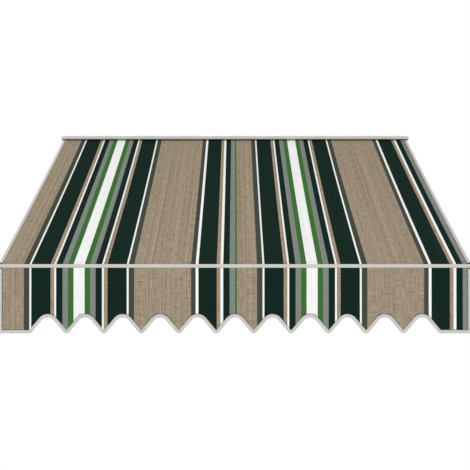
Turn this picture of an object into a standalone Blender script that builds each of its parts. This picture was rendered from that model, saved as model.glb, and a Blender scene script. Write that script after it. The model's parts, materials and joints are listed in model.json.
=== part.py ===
"""A retractable folding-arm awning, extended, without the wall that it hangs on.

Metres, +Z up.  The wall is the plane y = 0 and the awning reaches out along -Y.
The origin is the middle of the hood's rear flange, on the wall.
"""

from math import acos, asin, atan2, cos, hypot, pi, radians, sin, sqrt, tan

import bmesh
import bpy
from mathutils import Matrix, Vector

# Overall layout
PITCH = radians(24.15)  # slope of the canopy and of the arms below the horizontal
CANOPY_WIDTH = 2.400  # over the side bindings
GAP = 0.0003  # between pieces that rest on each other
STEP = 0.0005  # between faces of one casting that would otherwise lie in one plane
SIDES = (("left", -1), ("right", 1))

# Cloth
CLOTH = 0.0006
PANEL_WIDTH = 1.183  # visible width of each of the two cloth widths
STRIPE_START = 0.113  # sand at the left edge of each width, before the first band
SAND_FIELD = 0.289
WHITE_FIELD = 0.063
BANDS = (
    ("charcoal", 0.021),
    ("white", 0.016),
    ("bottle", 0.095),
    ("sand", 0.019),
    ("white", 0.012),
    ("bottle", 0.029),
    ("grey", 0.032),
    ("green", 0.022),
)
TAPE = 0.00035
TAPE_GAP = 0.00015
TAPE_WIDTH = 0.017

# Roller
ROLLER_RADIUS = 0.039
ROLLER_WALL = 0.0015
ROLLER_Y = -0.095
ROLLER_Z = -0.054
ROLL_TURNS = 1.6
ROLL_PITCH = 0.0019
KEDER_RADIUS = 0.0025
GROOVE_RADIUS = 0.0040
GROOVE_SLOT = 0.0024
GROOVE_LIP = 0.0016

# Hood
HOOD_WALL = 0.002
HOOD_DEPTH = 0.170
HOOD_SLOPE = radians(8.0)
HOOD_FLANGE = 0.024
HOOD_LIP = 0.015
HOOD_CAP = 0.003
SUPPORT_WALL = 0.0025
SUPPORT_WIDTH = 0.040
SUPPORT_REACH = 0.150
SUPPORT_PLACES = (("left", -0.60), ("centre", 0.0), ("right", 0.60))

# Wall side
TORSION_SIDE = 0.040
TORSION_WALL = 0.002
TORSION_Y = -0.040
TORSION_Z = -0.112
CHEEK_WALL = 0.004
CHEEK_CLEAR = 0.0035
CHEEK_RADIUS = 0.048
BRACKET_INSET = 0.400  # middle of a wall bracket, from the canopy's edge
BRACKET_WIDTH = 0.080
BRACKET_TOP = -0.035
BRACKET_BOTTOM = -0.178
BRACKET_LIP = 0.012
BRACKET_SHELF = 0.012
BRACKET_HOLE_RADIUS = 0.0065
BRACKET_HOLES_Z = (-0.058, -0.162)
JAW_WALL = 0.009

# Arms
ARM_LINK = 0.960  # pivot to pivot, the same for upper arm and forearm
ARM_INSET = 0.120  # shoulder pivots, from the canopy's edge
REST_ANGLE = radians(12.0)
SHOULDER_S = 0.085  # shoulder pivot, down the slope from where the canopy leaves the roller
FRONT_PIVOT = (-0.088, -0.032)  # from the front bar's top front edge: forward, up
ELBOW_OFFSET = 0.020
UPPER_TUBE = (0.036, 0.056)
FORE_TUBE = (0.032, 0.048)
ARM_WALL = 0.0025
ARM_CORNER = 0.006
PLUG_LENGTH = 0.040
EAR_RADIUS = 0.022
SHOULDER_EAR = 0.008
SHOULDER_WEB = 0.008
FRONT_EAR = 0.007
SHOULDER_PIN = 0.008
ELBOW_PIN = 0.007
FRONT_PIN = 0.006
PIN_HEAD = 0.003
TONGUE_HEIGHT = 0.040
COLLAR_START = 0.030
COLLAR_END = 0.045
NECK_SINK = 0.004
BELT_WALL = 0.0015
BELT_HEIGHT = 0.020
SPRING_RADIUS = 0.009
SPRING_WIRE = 0.0015
SPRING_TURNS = 20
SPRING_LENGTH = 0.400

# Front bar and valance
BAR_DEPTH = 0.052
BAR_HEIGHT = 0.070
BAR_WALL = 0.002
BAR_CORNER = 0.004
BAR_CAP = 0.003
TOP_GROOVE_P = -0.008
NOSE_GROOVE_Q = -0.019
BEND = 0.0025
VALANCE_DROP = 0.332
WAVE_PITCH = 0.190
WAVE_NOTCHES = 11
WAVE_DEPTH = 0.081
WAVE_FLANK = radians(50.0)
WAVE_TIP = 0.0193

# Motor
MOTOR_RADIUS = 0.0225
MOTOR_LENGTH = 0.560
MOTOR_HEAD_RADIUS = 0.0245
MOTOR_HEAD = 0.015
MOTOR_SQUARE = 0.012
DRIVE_RADIUS = 0.010
DRIVE_HUB = 0.010
DRIVE_WHEEL = 0.015
IDLE_PLUG = 0.030
IDLE_SHAFT = 0.0075
BUSH_WALL = 0.003

COLOURS = {
    "sand": ((0.31, 0.25, 0.18), 0.85, 0.0),
    "charcoal": ((0.08, 0.09, 0.08), 0.85, 0.0),
    "white": ((0.83, 0.86, 0.83), 0.85, 0.0),
    "bottle": ((0.007, 0.020, 0.015), 0.85, 0.0),
    "grey": ((0.20, 0.23, 0.20), 0.85, 0.0),
    "green": ((0.045, 0.150, 0.035), 0.85, 0.0),
    "tape": ((0.57, 0.60, 0.56), 0.80, 0.0),
    "coated": ((0.60, 0.61, 0.58), 0.40, 0.0),
    "cast": ((0.52, 0.53, 0.52), 0.45, 0.6),
    "aluminium": ((0.62, 0.63, 0.64), 0.35, 0.9),
    "steel": ((0.45, 0.45, 0.46), 0.30, 1.0),
    "zinc": ((0.50, 0.51, 0.50), 0.40, 0.9),
    "plastic": ((0.40, 0.41, 0.40), 0.50, 0.0),
    "black": ((0.02, 0.02, 0.02), 0.50, 0.0),
    "rod": ((0.75, 0.75, 0.73), 0.60, 0.0),
}

# Directions: DOWN_SLOPE runs out along the canopy, UP_NORMAL stands on it.
DOWN_SLOPE = Vector((0.0, -cos(PITCH), -sin(PITCH)))
UP_NORMAL = Vector((0.0, -sin(PITCH), cos(PITCH)))
ACROSS = Vector((1.0, 0.0, 0.0))

# Where the cloth leaves the roller
TAPE_HALF = CLOTH / 2 + TAPE_GAP + TAPE
ROLL_START = ROLLER_RADIUS + GAP + TAPE_HALF
ROLL_EXIT = ROLL_START + ROLL_TURNS * ROLL_PITCH
ROLLER_AXIS = Vector((0.0, ROLLER_Y, ROLLER_Z))
TANGENT = ROLLER_AXIS + ROLL_EXIT * UP_NORMAL

# Arms' plane and pivots
ARM_N = FRONT_PIVOT[0] * sin(PITCH) + FRONT_PIVOT[1] * cos(PITCH)
FRONT_PIVOT_S = FRONT_PIVOT[0] * cos(PITCH) - FRONT_PIVOT[1] * sin(PITCH)
CANOPY_LENGTH = SHOULDER_S + 2 * ARM_LINK * cos(REST_ANGLE) - FRONT_PIVOT_S
BAR_EDGE = TANGENT + CANOPY_LENGTH * DOWN_SLOPE

# Widths
CLOTH_EDGE = CANOPY_WIDTH / 2 - TAPE - TAPE_GAP
CHEEK_X = CANOPY_WIDTH / 2 + CHEEK_CLEAR
BRACKET_X = CANOPY_WIDTH / 2 - BRACKET_INSET
ARM_X = CANOPY_WIDTH / 2 - ARM_INSET
HOOD_END = CHEEK_X + CHEEK_WALL
BAR_END = CANOPY_WIDTH / 2 + GAP
VALANCE_P = GAP * 2 + BEND


# Places


def on_slope(x, s, n):
    """World point from across, down the slope and above it, from the canopy's tangent point."""
    return Vector((x, 0.0, 0.0)) + TANGENT + s * DOWN_SLOPE + n * UP_NORMAL


def slope_yz(points):
    """Outline points given as (down the slope, above it), as (y, z)."""
    return [tuple(on_slope(0.0, s, n).yz) for s, n in points]


def bar_yz(points):
    """Outline points given as (forward, up) from the front bar's top front edge, as (y, z)."""
    return [(BAR_EDGE.y - p, BAR_EDGE.z + q) for p, q in points]


def axes(origin, along, across):
    """A matrix whose x runs along, y across, and z square to both."""
    up = along.cross(across).normalized()
    matrix = Matrix((along, across, up)).transposed().to_4x4()
    matrix.translation = origin
    return matrix


# x to world Y, y to world Z, z to world X: side outlines are extruded across the awning.
SIDEWAYS = axes(Vector(), Vector((0, 1, 0)), Vector((0, 0, 1)))


# Outlines


def arc(centre, radius, start, end, count):
    """Points along an arc, both ends included."""
    steps = [start + (end - start) * i / count for i in range(count + 1)]
    return [(centre[0] + radius * cos(a), centre[1] + radius * sin(a)) for a in steps]


def circle(centre, radius, count=24):
    return arc(centre, radius, 0.0, 2 * pi, count)[:-1]


def rectangle(centre, width, height):
    x, y = centre
    w, h = width / 2, height / 2
    return [(x - w, y - h), (x + w, y - h), (x + w, y + h), (x - w, y + h)]


def rounded(centre, width, height, radius, count=3):
    """A rectangle with round corners."""
    x, y = centre
    w, h = width / 2 - radius, height / 2 - radius
    points = []
    for i, (a, b) in enumerate(((1, 1), (-1, 1), (-1, -1), (1, -1))):
        start = i * pi / 2
        points += arc((x + a * w, y + b * h), radius, start, start + pi / 2, count)
    return points


def hull(points):
    """Convex outline round the points."""
    points = sorted(set(points))

    def half(row):
        kept = []
        for p in row:
            while len(kept) > 1:
                (ax, ay), (bx, by) = kept[-2:]
                if (bx - ax) * (p[1] - ay) - (by - ay) * (p[0] - ax) > 0:
                    break
                kept.pop()
            kept.append(p)
        return kept[:-1]

    return half(points) + half(points[::-1])


def offset_line(points, distance):
    """An open line moved to its left by a distance, mitred at its corners."""
    moved = []
    for i, point in enumerate(points):
        before = Vector(point) - Vector(points[max(i - 1, 0)])
        after = Vector(points[min(i + 1, len(points) - 1)]) - Vector(point)
        before = before.normalized() if before.length else after.normalized()
        after = after.normalized() if after.length else before
        middle = (before + after).normalized()
        stretch = 1 / max(middle.dot(before), 0.3)
        normal = Vector((-middle.y, middle.x))
        moved.append(tuple(Vector(point) + distance * stretch * normal))
    return moved


# Meshes and objects


def prism(outline, low, high, holes=()):
    """A closed solid: the outline, with any holes through it, from one height to another."""
    bm = bmesh.new()
    edges = []
    for ring in (outline, *holes):
        verts = [bm.verts.new((x, y, low)) for x, y in ring]
        edges += [bm.edges.new(pair) for pair in zip(verts, verts[1:] + verts[:1])]
    bmesh.ops.triangle_fill(bm, edges=edges, use_beauty=True)
    grown = bmesh.ops.extrude_face_region(bm, geom=bm.faces[:])["geom"]
    raised = [v for v in grown if isinstance(v, bmesh.types.BMVert)]
    bmesh.ops.translate(bm, verts=raised, vec=(0, 0, high - low))
    bmesh.ops.recalc_face_normals(bm, faces=bm.faces)
    return bm


def lathe(profile, count=32):
    """A closed solid turned round x from (x, radius) points that start and end on the axis."""
    bm = bmesh.new()
    rings = []
    for x, radius in profile:
        if radius == 0:
            rings.append([bm.verts.new((x, 0, 0))])
        else:
            rings.append([bm.verts.new((x, b, c)) for b, c in circle((0, 0), radius, count)])
    for first, second in zip(rings, rings[1:]):
        for i in range(count):
            j = (i + 1) % count
            corners = [first[i % len(first)], first[j % len(first)]]
            corners += [second[j % len(second)], second[i % len(second)]]
            bm.faces.new(list(dict.fromkeys(corners)))
    bmesh.ops.recalc_face_normals(bm, faces=bm.faces)
    return bm


def sweep(path, section):
    """A closed strip: a section of (x, height) points carried along a line of (y, z) points."""
    bm = bmesh.new()
    rows = [offset_line(path, height) for _, height in section]
    rings = [
        [bm.verts.new((x, *row[i])) for (x, _), row in zip(section, rows)] for i in range(len(path))
    ]
    for first, second in zip(rings, rings[1:]):
        for i in range(len(section)):
            j = (i + 1) % len(section)
            bm.faces.new((first[i], first[j], second[j], second[i]))
    bm.faces.new(rings[0])
    bm.faces.new(rings[-1])
    bmesh.ops.recalc_face_normals(bm, faces=bm.faces)
    return bm


def material(name):
    """The named colour as a material, made once."""
    if name in bpy.data.materials:
        return bpy.data.materials[name]
    made = bpy.data.materials.new(name)
    made.use_nodes = True
    colour, rough, metal = COLOURS[name]
    shader = made.node_tree.nodes["Principled BSDF"]
    shader.inputs["Base Color"].default_value = (*colour, 1.0)
    shader.inputs["Roughness"].default_value = rough
    shader.inputs["Metallic"].default_value = metal
    made.diffuse_color = (*colour, 1.0)
    return made


def piece(name, bm, colour, matrix=None, parent=None):
    """An object from a bmesh, placed by a matrix and held by an empty on its joint's axis."""
    mesh = bpy.data.meshes.new(name)
    bm.to_mesh(mesh)
    bm.free()
    mesh.shade_smooth()
    mesh.set_sharp_from_angle(angle=radians(35))
    mesh.materials.append(material(colour))
    obj = bpy.data.objects.new(name, mesh)
    bpy.context.scene.collection.objects.link(obj)
    if parent:
        obj.parent = parent
        obj.matrix_parent_inverse = parent.matrix_world.inverted()
    if matrix:
        obj.matrix_world = matrix
    return obj


def pivot(name, matrix):
    """An empty on a joint's axis."""
    empty = bpy.data.objects.new(name, None)
    empty.empty_display_size = 0.05
    bpy.context.scene.collection.objects.link(empty)
    empty.matrix_world = matrix
    bpy.context.view_layer.update()
    return empty


def combine(obj, operation, bm, matrix=None):
    """Adds a solid to an object or cuts it out, with a hidden helper."""
    helper = piece(f"{obj.name}_{operation.lower()}", bm, "black", matrix, obj.parent)
    helper.hide_render = True
    helper.display_type = "WIRE"
    modifier = obj.modifiers.new(operation.title(), "BOOLEAN")
    modifier.operation = operation
    modifier.solver = "EXACT"
    modifier.object = helper
    return obj


def cut(obj, bm, matrix=None):
    return combine(obj, "DIFFERENCE", bm, matrix)


def join(obj, bm, matrix=None):
    return combine(obj, "UNION", bm, matrix)


# Stripes


def stripe_edges():
    """(x, colour) of each band of one cloth width, with x from its left edge."""
    run = list(BANDS)
    repeat = [*run, ("white", WHITE_FIELD), *run[::-1], ("sand", SAND_FIELD)]
    bands = [("sand", STRIPE_START)] + repeat + repeat
    x = 0.0
    for colour, width in bands:
        if x < PANEL_WIDTH:
            yield x, colour
        x += width


def stripe_colour(x):
    """The cloth's colour at a place across the awning."""
    left = x + PANEL_WIDTH if x < 0 else x
    return [colour for edge, colour in stripe_edges() if edge <= max(left, 0.0)][-1]


def cloth_section(half_width, half_wall):
    """A sheet's section, with a point at each edge between two colours."""
    places = [x for x, _ in stripe_edges()]
    edges = {round(x - PANEL_WIDTH, 6) for x in places} | {round(x, 6) for x in places}
    inner = sorted(x for x in edges if abs(x) < half_width)
    row = [-half_width, *inner, half_width]
    return [(x, half_wall) for x in row] + [(x, -half_wall) for x in row[::-1]]


def colour_stripes(obj):
    """Gives each face of a cloth object the colour of the stripe that it lies in."""
    obj.data.materials.clear()
    names = list(dict.fromkeys(colour for _, colour in stripe_edges()))
    for name in names:
        obj.data.materials.append(material(name))
    for face in obj.data.polygons:
        face.material_index = names.index(stripe_colour(face.center.x))


def tape_section(side):
    """A folded tape round a cloth edge: a U that opens towards the middle."""
    outer = CANOPY_WIDTH / 2
    inner = outer - TAPE_WIDTH
    slot = CLOTH / 2 + TAPE_GAP
    points = [(outer, -TAPE_HALF), (outer, TAPE_HALF), (inner, TAPE_HALF), (inner, slot)]
    points += [(outer - TAPE, slot), (outer - TAPE, -slot), (inner, -slot), (inner, -TAPE_HALF)]
    return [(side * x, height) for x, height in points]


# Grooves and the cloth edges in them


def keyhole(centre, heading):
    """A groove's outline from one side of its slot to the other, with the slot facing heading."""
    ahead = Vector((cos(heading), sin(heading)))
    aside = Vector((-ahead.y, ahead.x)) * GROOVE_SLOT / 2
    mouth = Vector(centre) + (GROOVE_LIP + GROOVE_RADIUS) * ahead
    half = asin(GROOVE_SLOT / 2 / GROOVE_RADIUS)
    inside = arc(centre, GROOVE_RADIUS, heading + half, heading + 2 * pi - half, 12)
    return [tuple(mouth + aside), *inside, tuple(mouth - aside)]


def keder_loop(centre, heading):
    """Centre line of the cloth round its rod, ending on the side that faces heading."""
    radius = KEDER_RADIUS + GAP + CLOTH / 2
    return arc(centre, radius, heading - radians(300), heading, 10)


EXIT_ANGLE = pi / 2 + PITCH
GROOVE_ANGLE = EXIT_ANGLE - ROLL_TURNS * 2 * pi
ROLLER_GROOVE = (
    ROLLER_Y + (ROLLER_RADIUS - GROOVE_LIP - GROOVE_RADIUS) * cos(GROOVE_ANGLE),
    ROLLER_Z + (ROLLER_RADIUS - GROOVE_LIP - GROOVE_RADIUS) * sin(GROOVE_ANGLE),
)
TOP_GROOVE = (TOP_GROOVE_P, -GROOVE_LIP - GROOVE_RADIUS)
NOSE_GROOVE = (-GROOVE_LIP - GROOVE_RADIUS, NOSE_GROOVE_Q)


def wound(count=58):
    """Centre line of the cloth on the roller, from its groove to where it leaves."""
    points = []
    for i in range(count + 1):
        angle = GROOVE_ANGLE + (EXIT_ANGLE - GROOVE_ANGLE) * i / count
        radius = ROLL_START + ROLL_PITCH * (angle - GROOVE_ANGLE) / (2 * pi)
        points.append((ROLLER_Y + radius * cos(angle), ROLLER_Z + radius * sin(angle)))
    return points


def fold_over_bar():
    """Centre line of the cloth's bend from the slope down into the front bar's top groove."""
    p = TOP_GROOVE_P - BEND
    q = -(p + BEND * sin(PITCH)) * tan(PITCH) - BEND * cos(PITCH)
    return arc((p, q), BEND, pi / 2 - PITCH, 0.0, 5)


def canopy_line():
    """Centre line of the whole canopy, from its rod in the roller to its rod in the front bar."""
    inner = keder_loop(ROLLER_GROOVE, GROOVE_ANGLE) + wound()
    loop = keder_loop(TOP_GROOVE, pi / 2)[::-1]
    return inner + bar_yz(fold_over_bar() + loop)


def binding_line():
    """The part of the canopy's centre line that its side bindings follow."""
    end = Vector(bar_yz(fold_over_bar())[0]) - 0.004 * DOWN_SLOPE.yz
    return wound()[2:] + [tuple(end)]


def valance_line():
    """Centre line of the valance, from its rod in the nose groove to its lower edge."""
    bend = arc((VALANCE_P - BEND, NOSE_GROOVE_Q - BEND), BEND, pi / 2, 0.0, 5)
    foot = (VALANCE_P, NOSE_GROOVE_Q - VALANCE_DROP - 0.01)
    return bar_yz([*keder_loop(NOSE_GROOVE, 0.0), *bend, foot])


def wave_line():
    """The valance's outline from its top left corner down, along the waves and up again."""
    low = BAR_EDGE.z + NOSE_GROOVE_Q - VALANCE_DROP
    top = BAR_EDGE.z + NOSE_GROOVE_Q - 2 * BEND
    radii = (tan(WAVE_FLANK) * WAVE_PITCH / 2 - WAVE_DEPTH) / (1 / cos(WAVE_FLANK) - 1)
    notch = radii - WAVE_TIP
    half = CANOPY_WIDTH / 2
    points = [(-half, top), (-half, low)]
    for i in range(WAVE_NOTCHES + 1):
        x = (i - WAVE_NOTCHES / 2) * WAVE_PITCH
        start = -pi / 2 - (WAVE_FLANK if i else 0.0)
        end = -pi / 2 + (WAVE_FLANK if i < WAVE_NOTCHES else 0.0)
        points += arc((x, low + WAVE_TIP), WAVE_TIP, start, end, 6 if 0 < i < WAVE_NOTCHES else 3)
        if i < WAVE_NOTCHES:
            crest = (x + WAVE_PITCH / 2, low + WAVE_DEPTH - notch)
            points += arc(crest, notch, pi / 2 + WAVE_FLANK, pi / 2 - WAVE_FLANK, 8)
    return points + [(half, low), (half, top)]


# Pieces on the wall


def fillet(points, radius, count=3):
    """An open line with its inner corners rounded."""
    line = [points[0]]
    for a, b, c in zip(points, points[1:], points[2:]):
        corner = Vector(b)
        back = (Vector(a) - corner).normalized()
        on = (Vector(c) - corner).normalized()
        half = back.angle(on) / 2
        centre = corner + (back + on).normalized() * radius / sin(half)
        first = corner + back * radius / tan(half) - centre
        last = corner + on * radius / tan(half) - centre
        start = atan2(first.y, first.x)
        turn = (atan2(last.y, last.x) - start + pi) % (2 * pi) - pi
        line += arc(centre, radius, start, start + turn, count)
    return line + [points[-1]]


def bent_sheet(points, wall, radius):
    """The outline of a sheet bent along a line."""
    line = fillet(points, radius)
    return offset_line(line, wall / 2) + offset_line(line, -wall / 2)[::-1]


def hood_under(y):
    """Height of the hood's underside at a distance out from the wall."""
    return HOOD_FLANGE / 2 + y * tan(HOOD_SLOPE) - HOOD_WALL / cos(HOOD_SLOPE)


def build_hood():
    half = HOOD_WALL / 2
    rise = HOOD_FLANGE / 2 - half
    lip_y = half - HOOD_DEPTH
    lip_z = rise + lip_y * tan(HOOD_SLOPE)
    line = [(-half, -HOOD_FLANGE / 2), (-half, rise), (lip_y, lip_z), (lip_y, lip_z - HOOD_LIP)]
    sheet = bent_sheet(line, HOOD_WALL, 0.003)
    piece("hood", prism(sheet, -HOOD_END, HOOD_END), "coated", SIDEWAYS)
    corners = [(0.0, -0.02), (0.0, HOOD_FLANGE / 2), (-HOOD_DEPTH, lip_z + half)]
    corners += [(-HOOD_DEPTH, lip_z - HOOD_LIP), (-HOOD_DEPTH * 0.6, lip_z - HOOD_LIP - 0.01)]
    for name, side in SIDES:
        ends = sorted((side * (HOOD_END + GAP), side * (HOOD_END + GAP + HOOD_CAP)))
        piece(f"hood_cap_{name}", prism(corners, *ends), "plastic", SIDEWAYS)
    for name, x in SUPPORT_PLACES:
        half = SUPPORT_WALL / 2
        y = TORSION_Y + TORSION_SIDE / 2 + GAP + half
        drop = GAP + half / cos(HOOD_SLOPE)
        line = [(y, TORSION_Z - TORSION_SIDE / 4), (y, hood_under(y) - drop)]
        line += [(-SUPPORT_REACH, hood_under(-SUPPORT_REACH) - drop)]
        sheet = bent_sheet(line, SUPPORT_WALL, 0.004)
        ends = (x - SUPPORT_WIDTH / 2, x + SUPPORT_WIDTH / 2)
        piece(f"hood_support_{name}", prism(sheet, *ends), "zinc", SIDEWAYS)


def build_torsion_bar():
    centre = (TORSION_Y, TORSION_Z)
    inner = TORSION_SIDE - 2 * TORSION_WALL
    outline = rounded(centre, TORSION_SIDE, TORSION_SIDE, 0.003)
    hole = rounded(centre, inner, inner, 0.001)
    end = CHEEK_X - GAP
    piece("torsion_bar", prism(outline, -end, end, [hole]), "zinc", SIDEWAYS)
    for name, side in SIDES:
        ends = sorted((side * CHEEK_X, side * (CHEEK_X + CHEEK_WALL)))
        plate = hull(
            circle((ROLLER_Y, ROLLER_Z), CHEEK_RADIUS, 32)
            + rounded(centre, TORSION_SIDE + 0.012, TORSION_SIDE + 0.012, 0.006)
        )
        cheek = piece(f"roller_cheek_{name}", prism(plate, *ends), "cast", SIDEWAYS)
        spigot = inner - 2 * GAP
        ends = sorted((side * (CHEEK_X - 0.040), side * (CHEEK_X + 0.001)))
        join(cheek, prism(rounded(centre, spigot, spigot, 0.001), *ends), SIDEWAYS)
        reach = (side * (CHEEK_X - 0.01), side * (CHEEK_X + 0.01))
        axis = (ROLLER_Y, ROLLER_Z)
        if side < 0:
            opening = rectangle(axis, MOTOR_SQUARE + 2 * GAP, MOTOR_SQUARE + 2 * GAP)
        else:
            opening = circle(axis, IDLE_SHAFT + BUSH_WALL + 2 * GAP)
        cut(cheek, prism(opening, *sorted(reach)), SIDEWAYS)


def build_wall_brackets():
    rear = TORSION_Y + TORSION_SIDE / 2 + GAP
    front = TORSION_Y - TORSION_SIDE / 2 - GAP
    top = TORSION_Z + TORSION_SIDE / 2 + GAP
    bottom = TORSION_Z - TORSION_SIDE / 2 - GAP
    plate = -0.008
    shelf = front - JAW_WALL
    outline = [
        (0.0, BRACKET_TOP),
        (plate, BRACKET_TOP),
        (plate, top + 0.018),
        (rear - BRACKET_LIP, top + 0.007),
        (rear - BRACKET_LIP, top),
        (rear, top),
        (rear, bottom),
        (shelf, bottom),
        (shelf, bottom - BRACKET_SHELF),
        (shelf + 2 * JAW_WALL, bottom - BRACKET_SHELF),
        (plate, bottom - BRACKET_SHELF - 0.004),
        (plate, BRACKET_BOTTOM),
        (0.0, BRACKET_BOTTOM),
    ]
    jaw_y = front - JAW_WALL / 2
    jaw_top = top - 0.006
    for name, side in SIDES:
        x = side * BRACKET_X
        ends = (x - BRACKET_WIDTH / 2, x + BRACKET_WIDTH / 2)
        bracket = piece(f"wall_bracket_{name}", prism(outline, *ends), "cast", SIDEWAYS)
        for z in BRACKET_HOLES_Z:
            through = axes(Vector((x, 0.01, z)), ACROSS, Vector((0, 0, 1)))
            cut(bracket, prism(circle((0, 0), BRACKET_HOLE_RADIUS), 0.0, 0.04), through)
        upright = Matrix.Translation((x, jaw_y, bottom))
        bore = prism(circle((0, 0), 0.003 + GAP, 16), -0.05, 0.020)
        cut(bracket, bore, upright)
        grip = rectangle((jaw_y, (jaw_top + bottom) / 2 + GAP), JAW_WALL, jaw_top - bottom)
        ends = (x - BRACKET_WIDTH * 0.35, x + BRACKET_WIDTH * 0.35)
        jaw = piece(f"bracket_jaw_{name}", prism(grip, *ends), "cast", SIDEWAYS)
        cut(jaw, prism(circle((0, 0), 0.003 + GAP, 16), -0.05, 0.020), upright)
        head = -BRACKET_SHELF - GAP
        shape = [(head - 0.004, 0), (head - 0.004, 0.006), (head, 0.006), (head, 0.003)]
        bolt = lathe([*shape, (0.0195, 0.003), (0.0195, 0)], 16)
        turned = axes(Vector((x, jaw_y, bottom)), Vector((0, 0, 1)), ACROSS)
        piece(f"bracket_bolt_{name}", bolt, "steel", turned)


def build_roller():
    reach = CANOPY_WIDTH / 2
    spin = pivot("roller_axis", Matrix.Translation(ROLLER_AXIS))
    axis = (ROLLER_Y, ROLLER_Z)
    lip = asin(GROOVE_SLOT / 2 / ROLLER_RADIUS) + 0.03
    outline = arc(axis, ROLLER_RADIUS, GROOVE_ANGLE + lip, GROOVE_ANGLE + 2 * pi - lip, 44)
    outline += keyhole(ROLLER_GROOVE, GROOVE_ANGLE)[::-1]
    tube = prism(outline, -reach, reach, [roller_bore(0.0)])
    piece("roller_tube", tube, "zinc", SIDEWAYS, spin)
    rod = prism(circle(ROLLER_GROOVE, KEDER_RADIUS, 12), -reach, reach)
    piece("roller_rod", rod, "rod", SIDEWAYS, spin)
    inside = roller_bore(GAP)
    end = reach - STEP
    body = prism(inside, end - IDLE_PLUG, end)
    plug = piece("idle_plug", body, "plastic", SIDEWAYS, spin)
    hub = circle(axis, IDLE_SHAFT)
    join(plug, prism(hub, end - IDLE_PLUG / 2, HOOD_END - STEP), SIDEWAYS)
    hole = circle(axis, IDLE_SHAFT + GAP)
    ring = circle(axis, IDLE_SHAFT + BUSH_WALL + GAP)
    piece("idle_bush", prism(ring, CHEEK_X, HOOD_END, [hole]), "black", SIDEWAYS)
    head = STEP - reach
    seat = circle(axis, MOTOR_HEAD_RADIUS + GAP)
    crown = prism(inside, head, head + MOTOR_HEAD, [seat])
    piece("motor_crown", crown, "plastic", SIDEWAYS, spin)
    rear = head + MOTOR_HEAD + MOTOR_LENGTH
    shape = [
        (head, 0),
        (head, MOTOR_HEAD_RADIUS),
        (head + MOTOR_HEAD, MOTOR_HEAD_RADIUS),
        (head + MOTOR_HEAD, MOTOR_RADIUS),
        (rear, MOTOR_RADIUS),
        (rear, 0),
    ]
    motor = piece("tube_motor", lathe(shape), "aluminium", Matrix.Translation(ROLLER_AXIS))
    pin = rectangle(axis, MOTOR_SQUARE, MOTOR_SQUARE)
    join(motor, prism(pin, STEP - HOOD_END, head + MOTOR_HEAD / 3), SIDEWAYS)
    face = rear + DRIVE_HUB
    wheel = piece("drive_wheel", prism(inside, face, face + DRIVE_WHEEL), "plastic", SIDEWAYS, spin)
    join(wheel, prism(circle(axis, DRIVE_RADIUS), rear + GAP, face + DRIVE_WHEEL / 3), SIDEWAYS)


def roller_bore(clear):
    """The roller tube's inside, which bulges round its groove, less a clearance."""
    radius = ROLLER_RADIUS - ROLLER_WALL - clear
    bulge = GROOVE_RADIUS + ROLLER_WALL + clear
    reach = ROLLER_RADIUS - GROOVE_LIP - GROOVE_RADIUS
    side = (radius**2 + reach**2 - bulge**2) / (2 * radius * reach)
    edge = atan2(sqrt(1 - side**2), side)
    turn = atan2(radius * sin(edge), radius * cos(edge) - reach)
    round_tube = arc((ROLLER_Y, ROLLER_Z), radius, GROOVE_ANGLE + edge, GROOVE_ANGLE + 2 * pi - edge, 40)
    inward = arc(ROLLER_GROOVE, bulge, GROOVE_ANGLE - turn, GROOVE_ANGLE - 2 * pi + turn, 10)
    return round_tube + inward[1:-1]


# Arms


def arm_points(side, angle):
    """Shoulder, elbow and front pivots of one arm, in the arms' plane."""
    x = side * ARM_X
    step = ARM_LINK * cos(angle)
    shoulder = on_slope(x, SHOULDER_S, ARM_N)
    elbow = on_slope(x - side * ARM_LINK * sin(angle), SHOULDER_S + step, ARM_N)
    front = on_slope(x, SHOULDER_S + 2 * step, ARM_N)
    return shoulder, elbow, front


LEAN = atan2(ELBOW_OFFSET, ARM_LINK)  # between an arm tube and the line through its pivots
LINK_LINE = hypot(ARM_LINK, ELBOW_OFFSET)


def beside(along, aside):
    """A point along an arm tube's centre line from its far pivot, and to its outer side."""
    return (
        along * cos(LEAN) + aside * sin(LEAN),
        aside * cos(LEAN) - along * sin(LEAN),
    )


def necked(centre, radius, corners):
    """A disc and its neck, which keeps to one side of the pivots' line so that the arm can fold.

    The corners run from the neck's inner edge to its outer one.
    """
    inner, outer = corners[0], corners[-1]
    away = (outer[0] - centre[0], outer[1] - centre[1])
    start = atan2(away[1], away[0]) + acos(radius / hypot(*away))
    end = pi + asin((centre[1] - inner[1]) / radius)
    return arc(centre, radius, start, end, 20) + corners


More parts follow.
